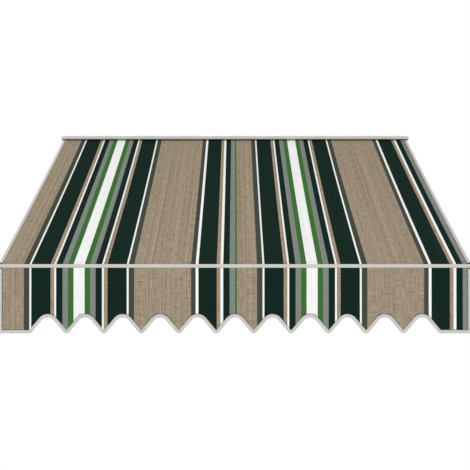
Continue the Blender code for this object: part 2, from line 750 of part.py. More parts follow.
def build_link(name, far, elbow, hand, size, spin, far_name, near_name, pin, far_ends):
    """One arm member: castings at its far pivot and its elbow, and the tube between them."""
    frame = axes(far, (elbow - far).normalized(), UP_NORMAL.cross((elbow - far).normalized()))
    width, height = size
    half, rise = width / 2, height / 2

    def outline(points):
        return [(x, hand * b) for x, b in points]

    first = beside(0.0, 0.0)
    last = beside(LINK_LINE, 0.0)
    start = Vector((first[0], hand * first[1], 0.0))
    tube_axis = (Vector((last[0], hand * last[1], 0.0)) - start).normalized()
    upright = Vector((0.0, 0.0, 1.0))
    tube_frame = frame @ axes(start, upright.cross(tube_axis), upright)

    body = rounded((0, 0), width, height, ARM_CORNER)
    bore = rounded((0, 0), width - 2 * ARM_WALL, height - 2 * ARM_WALL, ARM_CORNER - ARM_WALL)
    inner = width - 2 * ARM_WALL - 2 * GAP, height - 2 * ARM_WALL - 2 * GAP
    plug = rounded((0, 0), *inner, ARM_CORNER - ARM_WALL)
    tube = prism(body, COLLAR_END + GAP, LINK_LINE - COLLAR_END - GAP, [bore])
    piece(f"{name}_tube_{side_of(far)}", tube, "coated", tube_frame, spin)

    # the far end: an eye, a collar as wide as the tube, and a plug inside it
    collar = [beside(COLLAR_END, half), beside(COLLAR_END, -half)]
    shape = hull(circle((0, 0), half, 24) + collar)
    eye = piece(far_name, prism(outline(shape), -rise, rise), "cast", frame, spin)
    join(eye, prism(plug, COLLAR_END - 0.002, COLLAR_END + PLUG_LENGTH), tube_frame)
    cut(eye, prism(circle((0, 0), pin + GAP), -far_ends, far_ends), frame)

    # the elbow end
    centre = (ARM_LINK, 0.0)
    near = LINK_LINE - COLLAR_START
    root = LINK_LINE - COLLAR_END
    bolt = outline(circle(centre, ELBOW_PIN + GAP))
    neck_high = TONGUE_HEIGHT / 2
    if name == "upper_arm":
        collar = [beside(near, half), beside(root, half), beside(root, -half), beside(near, -half)]
        shape = necked(centre, EAR_RADIUS, collar)
        fork = piece(near_name, prism(outline(shape), -rise, rise), "cast", frame, spin)
        join(fork, prism(plug, root - PLUG_LENGTH, root + 0.002), tube_frame)
        slot = circle(centre, COLLAR_START - 0.0035)
        cut(fork, prism(outline(slot), -neck_high, neck_high), frame)
        way = rectangle((0, 0), BELT_WALL + 0.004, BELT_HEIGHT + 0.002)
        cut(fork, prism(way, root - PLUG_LENGTH - 0.01, near + 0.016), tube_frame)
        cut(fork, prism(bolt, -rise - 0.01, rise + 0.01), frame)
    else:
        inside = near - NECK_SINK
        mouth = [beside(inside, half - 2 * STEP), (beside(inside, 0)[0], STEP - ELBOW_OFFSET)]
        shape = necked(centre, ELBOW_OFFSET - STEP, mouth)
        high = neck_high - GAP
        tongue = piece(near_name, prism(outline(shape), -high, high), "cast", frame, spin)
        collar = [beside(near, half), beside(near, -half), beside(root, -half), beside(root, half)]
        join(tongue, prism(outline(collar), -rise, rise), frame)
        join(tongue, prism(plug, root - PLUG_LENGTH, root + 0.002), tube_frame)
        cut(tongue, prism(bolt, -rise - 0.01, rise + 0.01), frame)
    return frame, tube_frame


def side_of(point):
    return "left" if point.x < 0 else "right"


def pin_shape(radius, reach):
    """A pin with a flat head at each end, its shank reaching equally far both ways."""
    head = radius + 0.004
    low, high = -reach - GAP, reach + GAP
    return [
        (low - PIN_HEAD, 0),
        (low - PIN_HEAD, head),
        (low, head),
        (low, radius),
        (high, radius),
        (high, head),
        (high + PIN_HEAD, head),
        (high + PIN_HEAD, 0),
    ]


def build_arms():
    for name, side in SIDES:
        shoulder, elbow, front = arm_points(side, REST_ANGLE)
        upper_spin = pivot(f"shoulder_axis_{name}", axes(shoulder, DOWN_SLOPE, ACROSS))
        fore_spin = pivot(f"elbow_axis_{name}", axes(elbow, DOWN_SLOPE, ACROSS))
        frame, tube_frame = build_link(
            "upper_arm",
            shoulder,
            elbow,
            side,
            UPPER_TUBE,
            upper_spin,
            f"shoulder_eye_{name}",
            f"elbow_fork_{name}",
            SHOULDER_PIN,
            0.05,
        )
        build_link(
            "forearm",
            front,
            elbow,
            -side,
            FORE_TUBE,
            fore_spin,
            f"forearm_tip_{name}",
            f"elbow_tongue_{name}",
            FRONT_PIN,
            0.05,
        )
        pin_at = axes(elbow, UP_NORMAL, ACROSS)
        pin = lathe(pin_shape(ELBOW_PIN, UPPER_TUBE[1] / 2), 20)
        piece(f"elbow_pin_{name}", pin, "steel", pin_at, upper_spin)
        build_spring(name, tube_frame, upper_spin)
        build_belt(name, side, frame, upper_spin)


SPRING_START = COLLAR_END + PLUG_LENGTH + GAP + SPRING_WIRE


def build_spring(name, tube_frame, spin):
    """The spring inside an upper arm, with its end turns closed."""
    curve = bpy.data.curves.new(f"arm_spring_{name}", "CURVE")
    curve.dimensions = "3D"
    curve.bevel_depth = SPRING_WIRE
    curve.bevel_resolution = 0
    curve.use_fill_caps = True
    per_turn = 8
    count = SPRING_TURNS * per_turn
    line = curve.splines.new("POLY")
    line.points.add(count)
    for i, point in enumerate(line.points):
        turn = i / per_turn
        angle = 2 * pi * turn
        share = min(max((turn - 1) / (SPRING_TURNS - 2), 0.0), 1.0)
        along = SPRING_START + share * (SPRING_LENGTH - 2 * SPRING_WIRE)
        along += (min(turn, 1.0) + max(turn - SPRING_TURNS + 1, 0.0)) * SPRING_WIRE * 2.3
        place = (SPRING_RADIUS * sin(angle), SPRING_RADIUS * cos(angle), along, 1.0)
        point.co = place
    curve.materials.append(material("steel"))
    obj = bpy.data.objects.new(f"arm_spring_{name}", curve)
    bpy.context.scene.collection.objects.link(obj)
    obj.parent = spin
    obj.matrix_parent_inverse = spin.matrix_world.inverted()
    obj.matrix_world = tube_frame


def build_belt(name, side, frame, spin):
    """The flat belt from the spring round the elbow's tongue to the forearm's collar."""
    radius = ELBOW_OFFSET - 0.0005 + GAP + BELT_WALL / 2
    bend = 2 * REST_ANGLE
    end = SPRING_START + SPRING_LENGTH + SPRING_WIRE * 4 + GAP
    line = [beside(end, 0.0), beside(LINK_LINE - COLLAR_START, 0.0)]
    line += arc((ARM_LINK, 0.0), radius, -pi / 2, -pi / 2 + bend, 4)
    rest = COLLAR_START - 0.0015
    line.append((line[-1][0] + rest * cos(bend), line[-1][1] + rest * sin(bend)))
    strip = offset_line(line, BELT_WALL / 2) + offset_line(line, -BELT_WALL / 2)[::-1]
    strip = [(x, side * b) for x, b in strip]
    belt = prism(strip, -BELT_HEIGHT / 2, BELT_HEIGHT / 2)
    piece(f"elbow_belt_{name}", belt, "black", frame, spin)


def build_shoulders():
    """Brackets clamped on the torsion bar, each with a fork for its arm."""
    web = SHOULDER_S - EAR_RADIUS - 0.001
    low = ARM_N - UPPER_TUBE[1] / 2 - GAP
    high = ARM_N + UPPER_TUBE[1] / 2 + GAP
    bar = Vector((TORSION_Y, TORSION_Z)) - TANGENT.yz
    bar_s, bar_n = bar.dot(DOWN_SLOPE.yz), bar.dot(UP_NORMAL.yz)
    clamp = circle((bar_s, bar_n), TORSION_SIDE / 2 * sqrt(2) + 0.0075, 24)
    under, over = low - SHOULDER_EAR + STEP, high + SHOULDER_EAR - STEP
    back = web - SHOULDER_WEB
    beam = hull(clamp + [(back, under), (web - STEP, under + STEP), (web - STEP, low - STEP)])
    post = [(back, under), (web, under), (web, over), (back, over)]
    grip = TORSION_SIDE + 2 * GAP
    hole = rectangle((TORSION_Y, TORSION_Z), grip, grip)
    for name, side in SIDES:
        x = side * ARM_X
        ends = (x - 0.030, x + 0.030)
        bracket = piece(
            f"shoulder_bracket_{name}", prism(slope_yz(beam), *ends), "cast", SIDEWAYS
        )
        join(bracket, prism(slope_yz(post), x - EAR_RADIUS, x + EAR_RADIUS), SIDEWAYS)
        plan = axes(on_slope(x, SHOULDER_S, 0.0), DOWN_SLOPE, ACROSS)
        root = web - SHOULDER_S - 0.004
        ear = hull(circle((0, 0), EAR_RADIUS) + [(root, -EAR_RADIUS), (root, EAR_RADIUS)])
        join(bracket, prism(ear, high, high + SHOULDER_EAR), plan)
        join(bracket, prism(ear, low - SHOULDER_EAR, low), plan)
        cut(bracket, prism(circle((0, 0), SHOULDER_PIN + GAP), low - 0.02, high + 0.02), plan)
        cut(bracket, prism(hole, x - 0.04, x + 0.04), SIDEWAYS)
        upright = Matrix.Translation((x, TORSION_Y, 0.0))
        under = TORSION_Z - TORSION_SIDE / 2 - GAP
        cut(bracket, prism(circle((0, 0), 0.0043, 16), under - 0.04, under + 0.01), upright)
        head = TORSION_Z - TORSION_SIDE / 2 * sqrt(2) - 0.0075 - GAP
        shape = [(head - 0.005, 0), (head - 0.005, 0.007), (head, 0.007), (head, 0.004)]
        screw = lathe([*shape, (under, 0.004), (under, 0)], 16)
        turned = axes(Vector((x, TORSION_Y, 0.0)), Vector((0, 0, 1)), ACROSS)
        piece(f"shoulder_screw_{name}", screw, "steel", turned)
        reach = UPPER_TUBE[1] / 2 + GAP + SHOULDER_EAR
        pin_at = axes(on_slope(x, SHOULDER_S, ARM_N), UP_NORMAL, ACROSS)
        piece(f"shoulder_pin_{name}", lathe(pin_shape(SHOULDER_PIN, reach), 20), "steel", pin_at)


# Front bar


def bar_outline():
    """The front bar's section with its two grooves, as (forward, up)."""
    r = BAR_CORNER
    points = [*arc((r - BAR_DEPTH, -r), r, pi, pi / 2, 3)]
    points += keyhole(TOP_GROOVE, pi / 2)
    points += arc((-r, -r), r, pi / 2, 0.0, 3)
    points += keyhole(NOSE_GROOVE, 0.0)
    points += arc((-r, r - BAR_HEIGHT), r, 0.0, -pi / 2, 3)
    return points + arc((r - BAR_DEPTH, r - BAR_HEIGHT), r, -pi / 2, -pi, 3)


def bar_chambers():
    """The front bar's two hollows, behind and below its grooves."""
    back = BAR_WALL - BAR_DEPTH
    groove_back = TOP_GROOVE_P - GROOVE_RADIUS - BAR_WALL
    shelf = NOSE_GROOVE_Q - GROOVE_RADIUS - BAR_WALL
    upper = [(back, shelf), (groove_back, shelf), (groove_back, -BAR_WALL), (back, -BAR_WALL)]
    floor = BAR_WALL - BAR_HEIGHT
    top = shelf - BAR_WALL
    lower = [(back, floor), (-BAR_WALL, floor), (-BAR_WALL, top), (back, top)]
    return upper, lower


def build_front_bar():
    elbow = arm_points(-1, REST_ANGLE)[2]
    travel = pivot("front_axis_left", axes(elbow, DOWN_SLOPE, ACROSS))
    holes = [bar_yz(ring) for ring in bar_chambers()]
    bar = prism(bar_yz(bar_outline()), -BAR_END, BAR_END, holes)
    piece("front_bar", bar, "coated", SIDEWAYS, travel)
    middle = (-BAR_DEPTH / 2, -BAR_HEIGHT / 2)
    plate = rounded(middle, BAR_DEPTH, BAR_HEIGHT, BAR_CORNER)
    lower = bar_chambers()[1]
    (left, floor), (right, top) = lower[0], lower[2]
    seat = ((left + right) / 2, (floor + top) / 2)
    block = rectangle(seat, right - left - 2 * GAP, top - floor - 2 * GAP)
    for name, side in SIDES:
        start = BAR_END + GAP
        ends = sorted((side * start, side * (start + BAR_CAP)))
        cap = piece(f"front_bar_cap_{name}", prism(bar_yz(plate), *ends), "plastic", SIDEWAYS, travel)
        ends = sorted((side * (start - 0.012), side * (start + 0.001)))
        join(cap, prism(bar_yz(block), *ends), SIDEWAYS)
        build_front_bracket(name, side, travel)
    for name, groove in (("canopy_rod", TOP_GROOVE), ("valance_rod", NOSE_GROOVE)):
        ring = bar_yz(circle(groove, KEDER_RADIUS, 12))
        reach = CANOPY_WIDTH / 2
        piece(name, prism(ring, -reach, reach), "rod", SIDEWAYS, travel)


def build_front_bracket(name, side, travel):
    """The fork behind the front bar that holds the end of one forearm."""
    x = side * ARM_X
    low = ARM_N - FORE_TUBE[1] / 2 - GAP
    high = ARM_N + FORE_TUBE[1] / 2 + GAP
    face = -BAR_DEPTH - GAP

    def from_bar(p, q):
        return (p * cos(PITCH) - q * sin(PITCH), p * sin(PITCH) + q * cos(PITCH))

    root = FRONT_PIVOT_S + EAR_RADIUS - 0.002
    top = from_bar(face, -0.006)
    foot = from_bar(face, 0.004 - BAR_HEIGHT)
    under, over = low - FRONT_EAR + STEP, high + FRONT_EAR - STEP
    shape = [top, foot, (root + 0.010, under), (root, under), (root, over)]
    outline = [tuple((BAR_EDGE + s * DOWN_SLOPE + n * UP_NORMAL).yz) for s, n in shape]
    bracket = piece(
        f"front_bracket_{name}", prism(outline, x - 0.024, x + 0.024), "cast", SIDEWAYS, travel
    )
    plan = axes(BAR_EDGE + FRONT_PIVOT_S * DOWN_SLOPE + Vector((x, 0, 0)), DOWN_SLOPE, ACROSS)
    radius = FORE_TUBE[0] / 2 + 0.002
    back = root - FRONT_PIVOT_S + 0.003
    ear = hull(circle((0, 0), radius) + [(back, -radius), (back, radius)])
    join(bracket, prism(ear, high, high + FRONT_EAR), plan)
    join(bracket, prism(ear, low - FRONT_EAR, low), plan)
    cut(bracket, prism(circle((0, 0), FRONT_PIN + GAP), low - 0.02, high + 0.02), plan)
    reach = FORE_TUBE[1] / 2 + GAP + FRONT_EAR
    pin_at = axes(plan.translation + ARM_N * UP_NORMAL, UP_NORMAL, ACROSS)
    piece(f"front_pin_{name}", lathe(pin_shape(FRONT_PIN, reach), 20), "steel", pin_at, travel)


# Cloth


def build_canopy():
    section = cloth_section(CLOTH_EDGE, CLOTH / 2)
    canopy = piece("canopy", sweep(canopy_line(), section), "sand")
    colour_stripes(canopy)
    for name, side in SIDES:
        tape = sweep(binding_line(), tape_section(side))
        piece(f"canopy_binding_{name}", tape, "tape")


def build_valance(travel):
    section = cloth_section(CLOTH_EDGE, CLOTH / 2)
    valance = piece("valance", sweep(valance_line(), section), "sand", parent=travel)
    colour_stripes(valance)
    outer = wave_line()
    cloth = offset_line(outer, TAPE + TAPE_GAP)[1:-1]
    half = CANOPY_WIDTH / 2
    low = cloth[0][1]
    facing = axes(Vector((0.0, BAR_EDGE.y - VALANCE_P, 0.0)), ACROSS, Vector((0, 0, 1)))
    below = [(-half - 0.01, low), *cloth[1:-1], (half + 0.01, low)]
    below += [(half + 0.01, low - 0.05), (-half - 0.01, low - 0.05)]
    cut(valance, prism(below, -0.01, 0.01), facing)
    band = outer + offset_line(outer, TAPE_WIDTH)[::-1]
    tape = piece("valance_binding", prism(band, -TAPE_HALF, TAPE_HALF), "tape", facing, travel)
    slot = offset_line(outer, TAPE)
    slot = [(slot[0][0], slot[0][1] + 0.01), *slot[1:-1], (slot[-1][0], slot[-1][1] + 0.01)]
    inside = CLOTH / 2 + TAPE_GAP
    cut(tape, prism(slot, -inside, inside), facing)


def main():
    for obj in list(bpy.data.objects):
        bpy.data.objects.remove(obj)
    build_hood()
    build_torsion_bar()
    build_wall_brackets()
    build_roller()
    build_shoulders()
    build_arms()
    build_front_bar()
    build_canopy()
    build_valance(bpy.data.objects["front_axis_left"])


main()
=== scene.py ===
"""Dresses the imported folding-arm awning: cloth, bindings, stitching, small fixings and finishes.

Metres, +Z up.  The wall is y = 0 and the awning reaches out along -Y.
"""

import json
from math import asin, atan2, cos, pi, radians, sin, tan

import bmesh
import bpy
import numpy as np
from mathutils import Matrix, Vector


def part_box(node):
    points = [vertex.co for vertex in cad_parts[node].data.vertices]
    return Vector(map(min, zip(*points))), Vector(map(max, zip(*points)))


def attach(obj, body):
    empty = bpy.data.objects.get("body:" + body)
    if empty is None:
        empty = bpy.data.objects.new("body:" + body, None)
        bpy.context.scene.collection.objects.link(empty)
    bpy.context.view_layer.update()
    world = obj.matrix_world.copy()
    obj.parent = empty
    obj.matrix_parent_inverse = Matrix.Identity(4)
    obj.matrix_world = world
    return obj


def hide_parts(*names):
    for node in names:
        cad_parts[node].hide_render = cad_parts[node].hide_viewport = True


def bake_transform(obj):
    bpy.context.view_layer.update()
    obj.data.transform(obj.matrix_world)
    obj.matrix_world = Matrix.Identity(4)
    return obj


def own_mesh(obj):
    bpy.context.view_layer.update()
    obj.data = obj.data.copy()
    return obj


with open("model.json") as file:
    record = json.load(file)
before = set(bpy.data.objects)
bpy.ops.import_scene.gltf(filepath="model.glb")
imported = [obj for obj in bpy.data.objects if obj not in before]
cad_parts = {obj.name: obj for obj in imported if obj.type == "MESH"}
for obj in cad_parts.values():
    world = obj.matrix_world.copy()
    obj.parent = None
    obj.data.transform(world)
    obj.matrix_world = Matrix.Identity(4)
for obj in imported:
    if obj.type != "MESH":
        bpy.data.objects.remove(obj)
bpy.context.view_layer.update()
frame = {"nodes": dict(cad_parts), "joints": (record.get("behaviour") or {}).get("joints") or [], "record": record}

bl_info = {
    "name": "Folding-arm awning",
    "version": (1, 0, 0),
    "blender": (4, 5, 0),
    "location": "3D View > Sidebar > Awning",
    "description": "Builds the cloth, the small fixings and the finishes of an extended awning",
    "category": "Object",
}

# Places taken from the frame
JOINTS = {joint["name"]: joint for joint in frame["joints"]}
UP_NORMAL = Vector(JOINTS["arm_fold_left"]["axis"]).normalized()
DOWN_SLOPE = Vector((0.0, -UP_NORMAL.z, UP_NORMAL.y))
FACING = Vector((0.0, -1.0, 0.0))
PITCH = atan2(-UP_NORMAL.y, UP_NORMAL.z)
ROLLER = Vector(JOINTS["roller_spin"]["pos_m"])
BAR_LOW, BAR_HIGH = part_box("front_bar")
BAR_EDGE = Vector((0.0, BAR_LOW.y, BAR_HIGH.z))
ROLL_EXIT = (BAR_EDGE - ROLLER).dot(UP_NORMAL)
TANGENT = ROLLER + ROLL_EXIT * UP_NORMAL
SLOPE = (BAR_EDGE - TANGENT).dot(DOWN_SLOPE)
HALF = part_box("canopy_binding_right")[1].x
VALANCE_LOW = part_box("valance_binding")[0].z

# Cloth
CLOTH = 0.0006
TAPE = 0.00035
TAPE_GAP = 0.00015
TAPE_WIDTH = 0.017
TAPE_HALF = CLOTH / 2 + TAPE_GAP + TAPE
PANEL_WIDTH = HALF - TAPE_WIDTH
# Width of the painted shade line on the cloth, just inside each binding's inner edge
PAINTED_SHADE_WIDTH = 0.0030
STRIPE_START = 0.111
SAND_FIELD = 0.290
WHITE_FIELD = 0.0584
BANDS = (
    ("charcoal", 0.0260),
    ("white", 0.0118),
    ("bottle", 0.0902),
    ("umber", 0.0035),
    ("sand", 0.0197),
    ("white", 0.0115),
    ("bottle", 0.0312),
    ("grey", 0.0300),
    ("green", 0.0250),
)
THREAD = 0.00055
TWILL = 0.009
SEAM_HALF = 0.010
HEM = 0.030
BEND_GAP = 0.0012  # from the slope's sheet to the sheet over the bar
LAYER_GAP = 0.0001  # from the slope's sheet to the hem layer under it
BINDING_GAP = 0.004  # from the bindings' ends to the bar's bend

# Tone of the cloth: noise scales across and along it in 1/m, and how far each moves the tone
STREAKS = (120.0, 0.3, 1.0)
WARP = (330.0, 16.0, 1.0)
WEFT = (16.0, 330.0, 1.0)
TAPE_YARNS = (60.0, 1400.0, 1.0)
STREAK_DEPTH = 0.62
YARN_DEPTH = 0.60
TWILL_DEPTH = 0.022
PLAIN_SHARE = 0.3  # of that tone, on every stripe but sand

# Roller, grooves and rods
ROLL_TURNS = 1.6
ROLL_PITCH = 0.0019
ROLL_END = pi / 2 + PITCH  # where the cloth leaves the roller
CLOTH_LATE = 0.20  # the turns start this angle after the groove
TAPE_LATE = 0.1  # the same for the bindings, in turns
KEDER_RADIUS = 0.0025
LOOP_RADIUS = KEDER_RADIUS + 0.0003 + CLOTH / 2
GROOVE_DEPTH = 0.0056
TOP_GROOVE_P = -0.008
NOSE_GROOVE_Q = -0.019
BEND = 0.0025
VALANCE_P = 0.0006 + BEND

# Valance
WAVE_PITCH = 0.190
WAVE_NOTCHES = 11
WAVE_DEPTH = 0.081
WAVE_FLANK = radians(50.0)
WAVE_TIP = 0.0193
NOTCH_TIP = (tan(WAVE_FLANK) * WAVE_PITCH / 2 - WAVE_DEPTH) / (1 / cos(WAVE_FLANK) - 1) - WAVE_TIP
COLUMN_PITCH = 0.0052
OUTLINE_PITCH = 0.0042
SIDE_ROWS = 13
EDGE_ROWS = (0.060, 0.042, 0.030, 0.024, 0.0195, 0.0165, 0.012, 0.006, 0.0)  # above the edge

# Rows of stitches
SEAM_ROW = 0.0025  # inside each edge of the seam's lap
BINDING_ROWS = (0.0022, 0.0075)  # inside the tape's open edge
HEM_ROWS = (0.014, 0.020)  # back from the bar's bend
ROW_START = 0.02
ROW_GAP = 0.006

# Screws
HOOD_SCREW = 0.0032
BAR_SCREW = 0.0028
ARM_SCREW = 0.0026
HOOD_PLACES = ((-0.012, -0.045), (0.012, -0.045), (-0.012, -0.120), (0.012, -0.120))
HOOD_MIDDLES = (-0.6, 0.0, 0.6)
HOOD_CAP_PLACES = ((-0.030, -0.009), (-0.140, -0.020))
CHEEK_PLACE = (-0.040, -0.112)
CAP_INSET = 0.016
TUBE_PLACES = (0.012, 0.034)  # from each end of an arm tube
CLEAR = 0.1  # starts a line outside the hood and the arm tubes
CLEAR_SIDE = 1.4  # starts a line outside the awning's ends

# Stage
WORLD_LIGHT = 0.78
FLOOR_NEAR, FLOOR_FAR, FLOOR_HALF = -7.5, 0.45, 5.0
LIGHTS = (  # name, place, target, size, power
    ("soft_key", (-2.6, -5.0, 3.4), (0.0, -1.0, -0.5), 3.0, 68.0),
    ("soft_fill", (3.2, -5.4, 1.2), (0.0, -1.2, -0.8), 3.0, 28.0),
    ("soft_front", (0.0, -7.6, -0.9), (0.0, 0.0, -0.1), 2.0, 38.0),
)


# Sizes and colours that a user may change


def length(name, description, default):
    return bpy.props.FloatProperty(
        name=name, description=description, default=default, min=0.0, precision=5, unit="LENGTH"
    )


def colour(name, description, default):
    return bpy.props.FloatVectorProperty(
        name=name, description=description, default=default, size=3, min=0, max=1, subtype="COLOR"
    )


class ClothSizes(bpy.types.PropertyGroup):
    sag: length("Sag", "Drop of the canopy at its middle", 0.010)
    flute: length("Flutes", "How far the valance's lower edge waves forward and back", 0.004)
    stitch: length("Stitch", "Length of one stitch", 0.0030)
    stitch_pitch: length("Stitch pitch", "From one stitch to the next", 0.0038)
    thread: length("Thread", "Thickness of the sewing thread", 0.0006)


class ClothColours(bpy.types.PropertyGroup):
    sand: colour("Sand", "Wide sand stripe", (0.318, 0.258, 0.181))
    white: colour("White", "White stripe", (0.87, 0.88, 0.86))
    bottle: colour("Bottle green", "Darkest stripe", (0.0070, 0.0212, 0.0152))
    grey: colour("Grey", "Grey stripe", (0.205, 0.235, 0.202))
    green: colour("Green", "Grass green stripe", (0.047, 0.153, 0.036))
    charcoal: colour("Charcoal", "Outermost thin stripe", (0.055, 0.066, 0.050))
    umber: colour("Umber", "Hairline between bottle green and sand", (0.012, 0.010, 0.005))
    tape: colour("Binding", "Binding tape", (0.57, 0.56, 0.53))
    yarn: colour("Sewing thread", "Thread of every seam", (0.40, 0.41, 0.37))


class FrameColours(bpy.types.PropertyGroup):
    coat: colour("Powder coat", "Hood, front bar and arms", (0.55, 0.54, 0.50))
    cast: colour("Castings", "Brackets, eyes and forks", (0.50, 0.51, 0.49))
    plastic: colour("Caps", "End caps and plugs", (0.42, 0.43, 0.42))


class StageSizes(bpy.types.PropertyGroup):
    distance: length("Distance", "Camera to the front bar", 4.804)
    height: length("Height", "Camera above the valance's lower edge", 0.4992)
    floor: length("Floor", "Floor below the valance", 1.35)
    lens: bpy.props.FloatProperty(
        name="Lens", description="Focal length in millimetres", default=72.45, min=10.0
    )


# Finishes


class Finish:
    """A material with short calls for the nodes that the finishes share."""

    def __init__(self, name, base, roughness, metallic=0.0):
        self.material = bpy.data.materials.new(name)
        self.material.use_nodes = True
        self.tree = self.material.node_tree
        self.shader = self.tree.nodes["Principled BSDF"]
        self.shader.inputs["Base Color"].default_value = (*base, 1.0)
        self.shader.inputs["Roughness"].default_value = roughness
        self.shader.inputs["Metallic"].default_value = metallic

    def feed(self, socket, value):
        if isinstance(value, bpy.types.NodeSocket):
            self.tree.links.new(value, socket)
        else:
            socket.default_value = value

    def node(self, kind, inputs=None, **settings):
        made = self.tree.nodes.new(kind)
        for key, value in settings.items():
            setattr(made, key, value)
        for key, value in (inputs or {}).items():
            self.feed(made.inputs[key], value)
        return made

    def math(self, operation, *values):
        made = self.node("ShaderNodeMath", operation=operation)
        for socket, value in zip(made.inputs, values):
            self.feed(socket, value)
        return made.outputs[0]

    def place(self):
        return self.node("ShaderNodeTexCoord").outputs["Object"]

    def scaled(self, vector, scale):
        made = self.node("ShaderNodeMapping", {"Vector": vector, "Scale": scale})
        return made.outputs["Vector"]

    def noise(self, vector, scale, detail=2.0):
        inputs = {"Vector": vector, "Scale": scale, "Detail": detail}
        return self.node("ShaderNodeTexNoise", inputs).outputs[0]

    def between(self, value, low, high):
        return self.node("ShaderNodeMapRange", {"Value": value, 3: low, 4: high}).outputs[0]

    def shade(self, base, factor):
        """The base colour times a grey factor."""
        grey = self.node("ShaderNodeCombineColor", {0: factor, 1: factor, 2: factor}).outputs[0]
        made = self.node("ShaderNodeMix", data_type="RGBA", blend_type="MULTIPLY")
        self.feed(made.inputs[0], 1.0)
        self.feed(made.inputs[6], base)
        self.feed(made.inputs[7], grey)
        return made.outputs[2]

    def relief(self, height, distance, strength=1.0):
        inputs = {"Height": height, "Distance": distance, "Strength": strength}
        made = self.node("ShaderNodeBump", inputs)
        self.tree.links.new(made.outputs[0], self.shader.inputs["Normal"])


def stripe_edges():
    """(x, colour name) of each stripe of one cloth width, from its left edge over the seam."""
    run = list(BANDS)
    repeat = [*run, ("white", WHITE_FIELD), *run[::-1], ("sand", SAND_FIELD)]
    x = 0.0
    for name, width in [("sand", STRIPE_START), *repeat, *repeat]:
        if x < PANEL_WIDTH + SEAM_HALF:
            yield x, name
        x += width


def weave(finish):
    """Height of a plain weave, from the cloth's own map in metres, and that map's two axes."""
    uv = finish.node("ShaderNodeUVMap", uv_map="cloth").outputs[0]
    axes = finish.node("ShaderNodeSeparateXYZ", {0: uv}).outputs
    waves = [
        finish.math("SINE", finish.math("MULTIPLY", axes[i], 2 * pi / THREAD)) for i in (0, 1)
    ]
    return finish.math("MULTIPLY", *waves), axes[0], axes[1], uv


def striped_cloth(colours):
    """Woven stripes: each cloth width starts again at the middle seam's upper, left-hand lap."""
    finish = Finish("striped_cloth", colours.sand, 0.95)
    width = PANEL_WIDTH + SEAM_HALF
    x = finish.node("ShaderNodeSeparateXYZ", {0: finish.place()}).outputs[0]
    left = finish.math("LESS_THAN", x, SEAM_HALF)
    turn = finish.math("MULTIPLY_ADD", left, PANEL_WIDTH, x)
    ramp = finish.node("ShaderNodeValToRGB", {"Fac": finish.math("DIVIDE", turn, width)})
    ramp.color_ramp.interpolation = "CONSTANT"
    stops = ramp.color_ramp.elements
    stops.remove(stops[1])
    for i, (edge, name) in enumerate(stripe_edges()):
        stop = stops[0] if i == 0 else stops.new(edge / width)
        stop.color = (*getattr(colours, name), 1.0 if name == "sand" else PLAIN_SHARE)
    height, across, along, uv = weave(finish)
    streaks = finish.noise(finish.scaled(uv, STREAKS), 1.0, 3.0)
    warp = finish.noise(finish.scaled(uv, WARP), 1.0, 2.0)
    weft = finish.noise(finish.scaled(uv, WEFT), 1.0, 2.0)
    diagonal = finish.math("MULTIPLY", finish.math("ADD", across, along), 2 * pi / TWILL)
    twill = finish.math("MULTIPLY", finish.math("SINE", diagonal), TWILL_DEPTH)
    mixed = finish.math("ADD", finish.between(streaks, -STREAK_DEPTH, STREAK_DEPTH), twill)
    mixed = finish.math("ADD", mixed, finish.between(warp, -YARN_DEPTH, YARN_DEPTH))
    mixed = finish.math("ADD", mixed, finish.between(weft, -YARN_DEPTH, YARN_DEPTH))
    tone = finish.math("MULTIPLY_ADD", mixed, ramp.outputs["Alpha"], 1.0)
    # Painted shade: the cloth's tone drops to 40% under the tape and in a 3 mm line beside each binding's inner
    # edge, standing in for the tape's shadow
    edge = finish.node("ShaderNodeAttribute", attribute_name="edge").outputs["Fac"]
    painted_shade_band = finish.math("LESS_THAN", edge, TAPE_WIDTH + PAINTED_SHADE_WIDTH)
    tone = finish.math("MULTIPLY", tone, finish.math("MULTIPLY_ADD", painted_shade_band, -0.6, 1.0))
    finish.feed(finish.shader.inputs["Base Color"], finish.shade(ramp.outputs["Color"], tone))
    finish.shader.inputs["Specular IOR Level"].default_value = 0.02
    finish.relief(height, 0.00012, 0.35)
    return finish.material


def tape_cloth(colours):
    finish = Finish("binding_tape", colours.tape, 0.85)
    height, _, _, uv = weave(finish)
    yarns = finish.noise(finish.scaled(uv, TAPE_YARNS), 1.0, 2.0)
    base = finish.shade((*colours.tape, 1.0), finish.between(yarns, 0.92, 1.08))
    finish.feed(finish.shader.inputs["Base Color"], base)
    finish.shader.inputs["Specular IOR Level"].default_value = 0.25
    finish.relief(height, 0.0001, 0.35)
    return finish.material


def sewing_thread(name, base):
    finish = Finish(name, base, 0.6)
    twist = finish.noise(finish.place(), 2500.0)
    tone = finish.shade((*base, 1.0), finish.between(twist, 0.8, 1.2))
    finish.feed(finish.shader.inputs["Base Color"], tone)
    return finish.material


def surface(name, base, roughness, metallic, grain, relief, soil=0.05, stretch=(1, 1, 1)):
    """A hard finish: slow colour variation, fine grain in its gloss and its relief."""
    finish = Finish(name, base, roughness, metallic)
    place = finish.place()
    clouds = finish.noise(place, 9.0, 4.0)
    fine = finish.noise(finish.scaled(place, stretch), grain, 3.0)
    tone = finish.between(clouds, 1.0 - soil, 1.0 + soil)
    finish.feed(finish.shader.inputs["Base Color"], finish.shade((*base, 1.0), tone))
    gloss = finish.between(fine, roughness * 0.85, min(roughness * 1.2, 1.0))
    finish.feed(finish.shader.inputs["Roughness"], gloss)
    finish.relief(fine, relief, 0.5)
    return finish


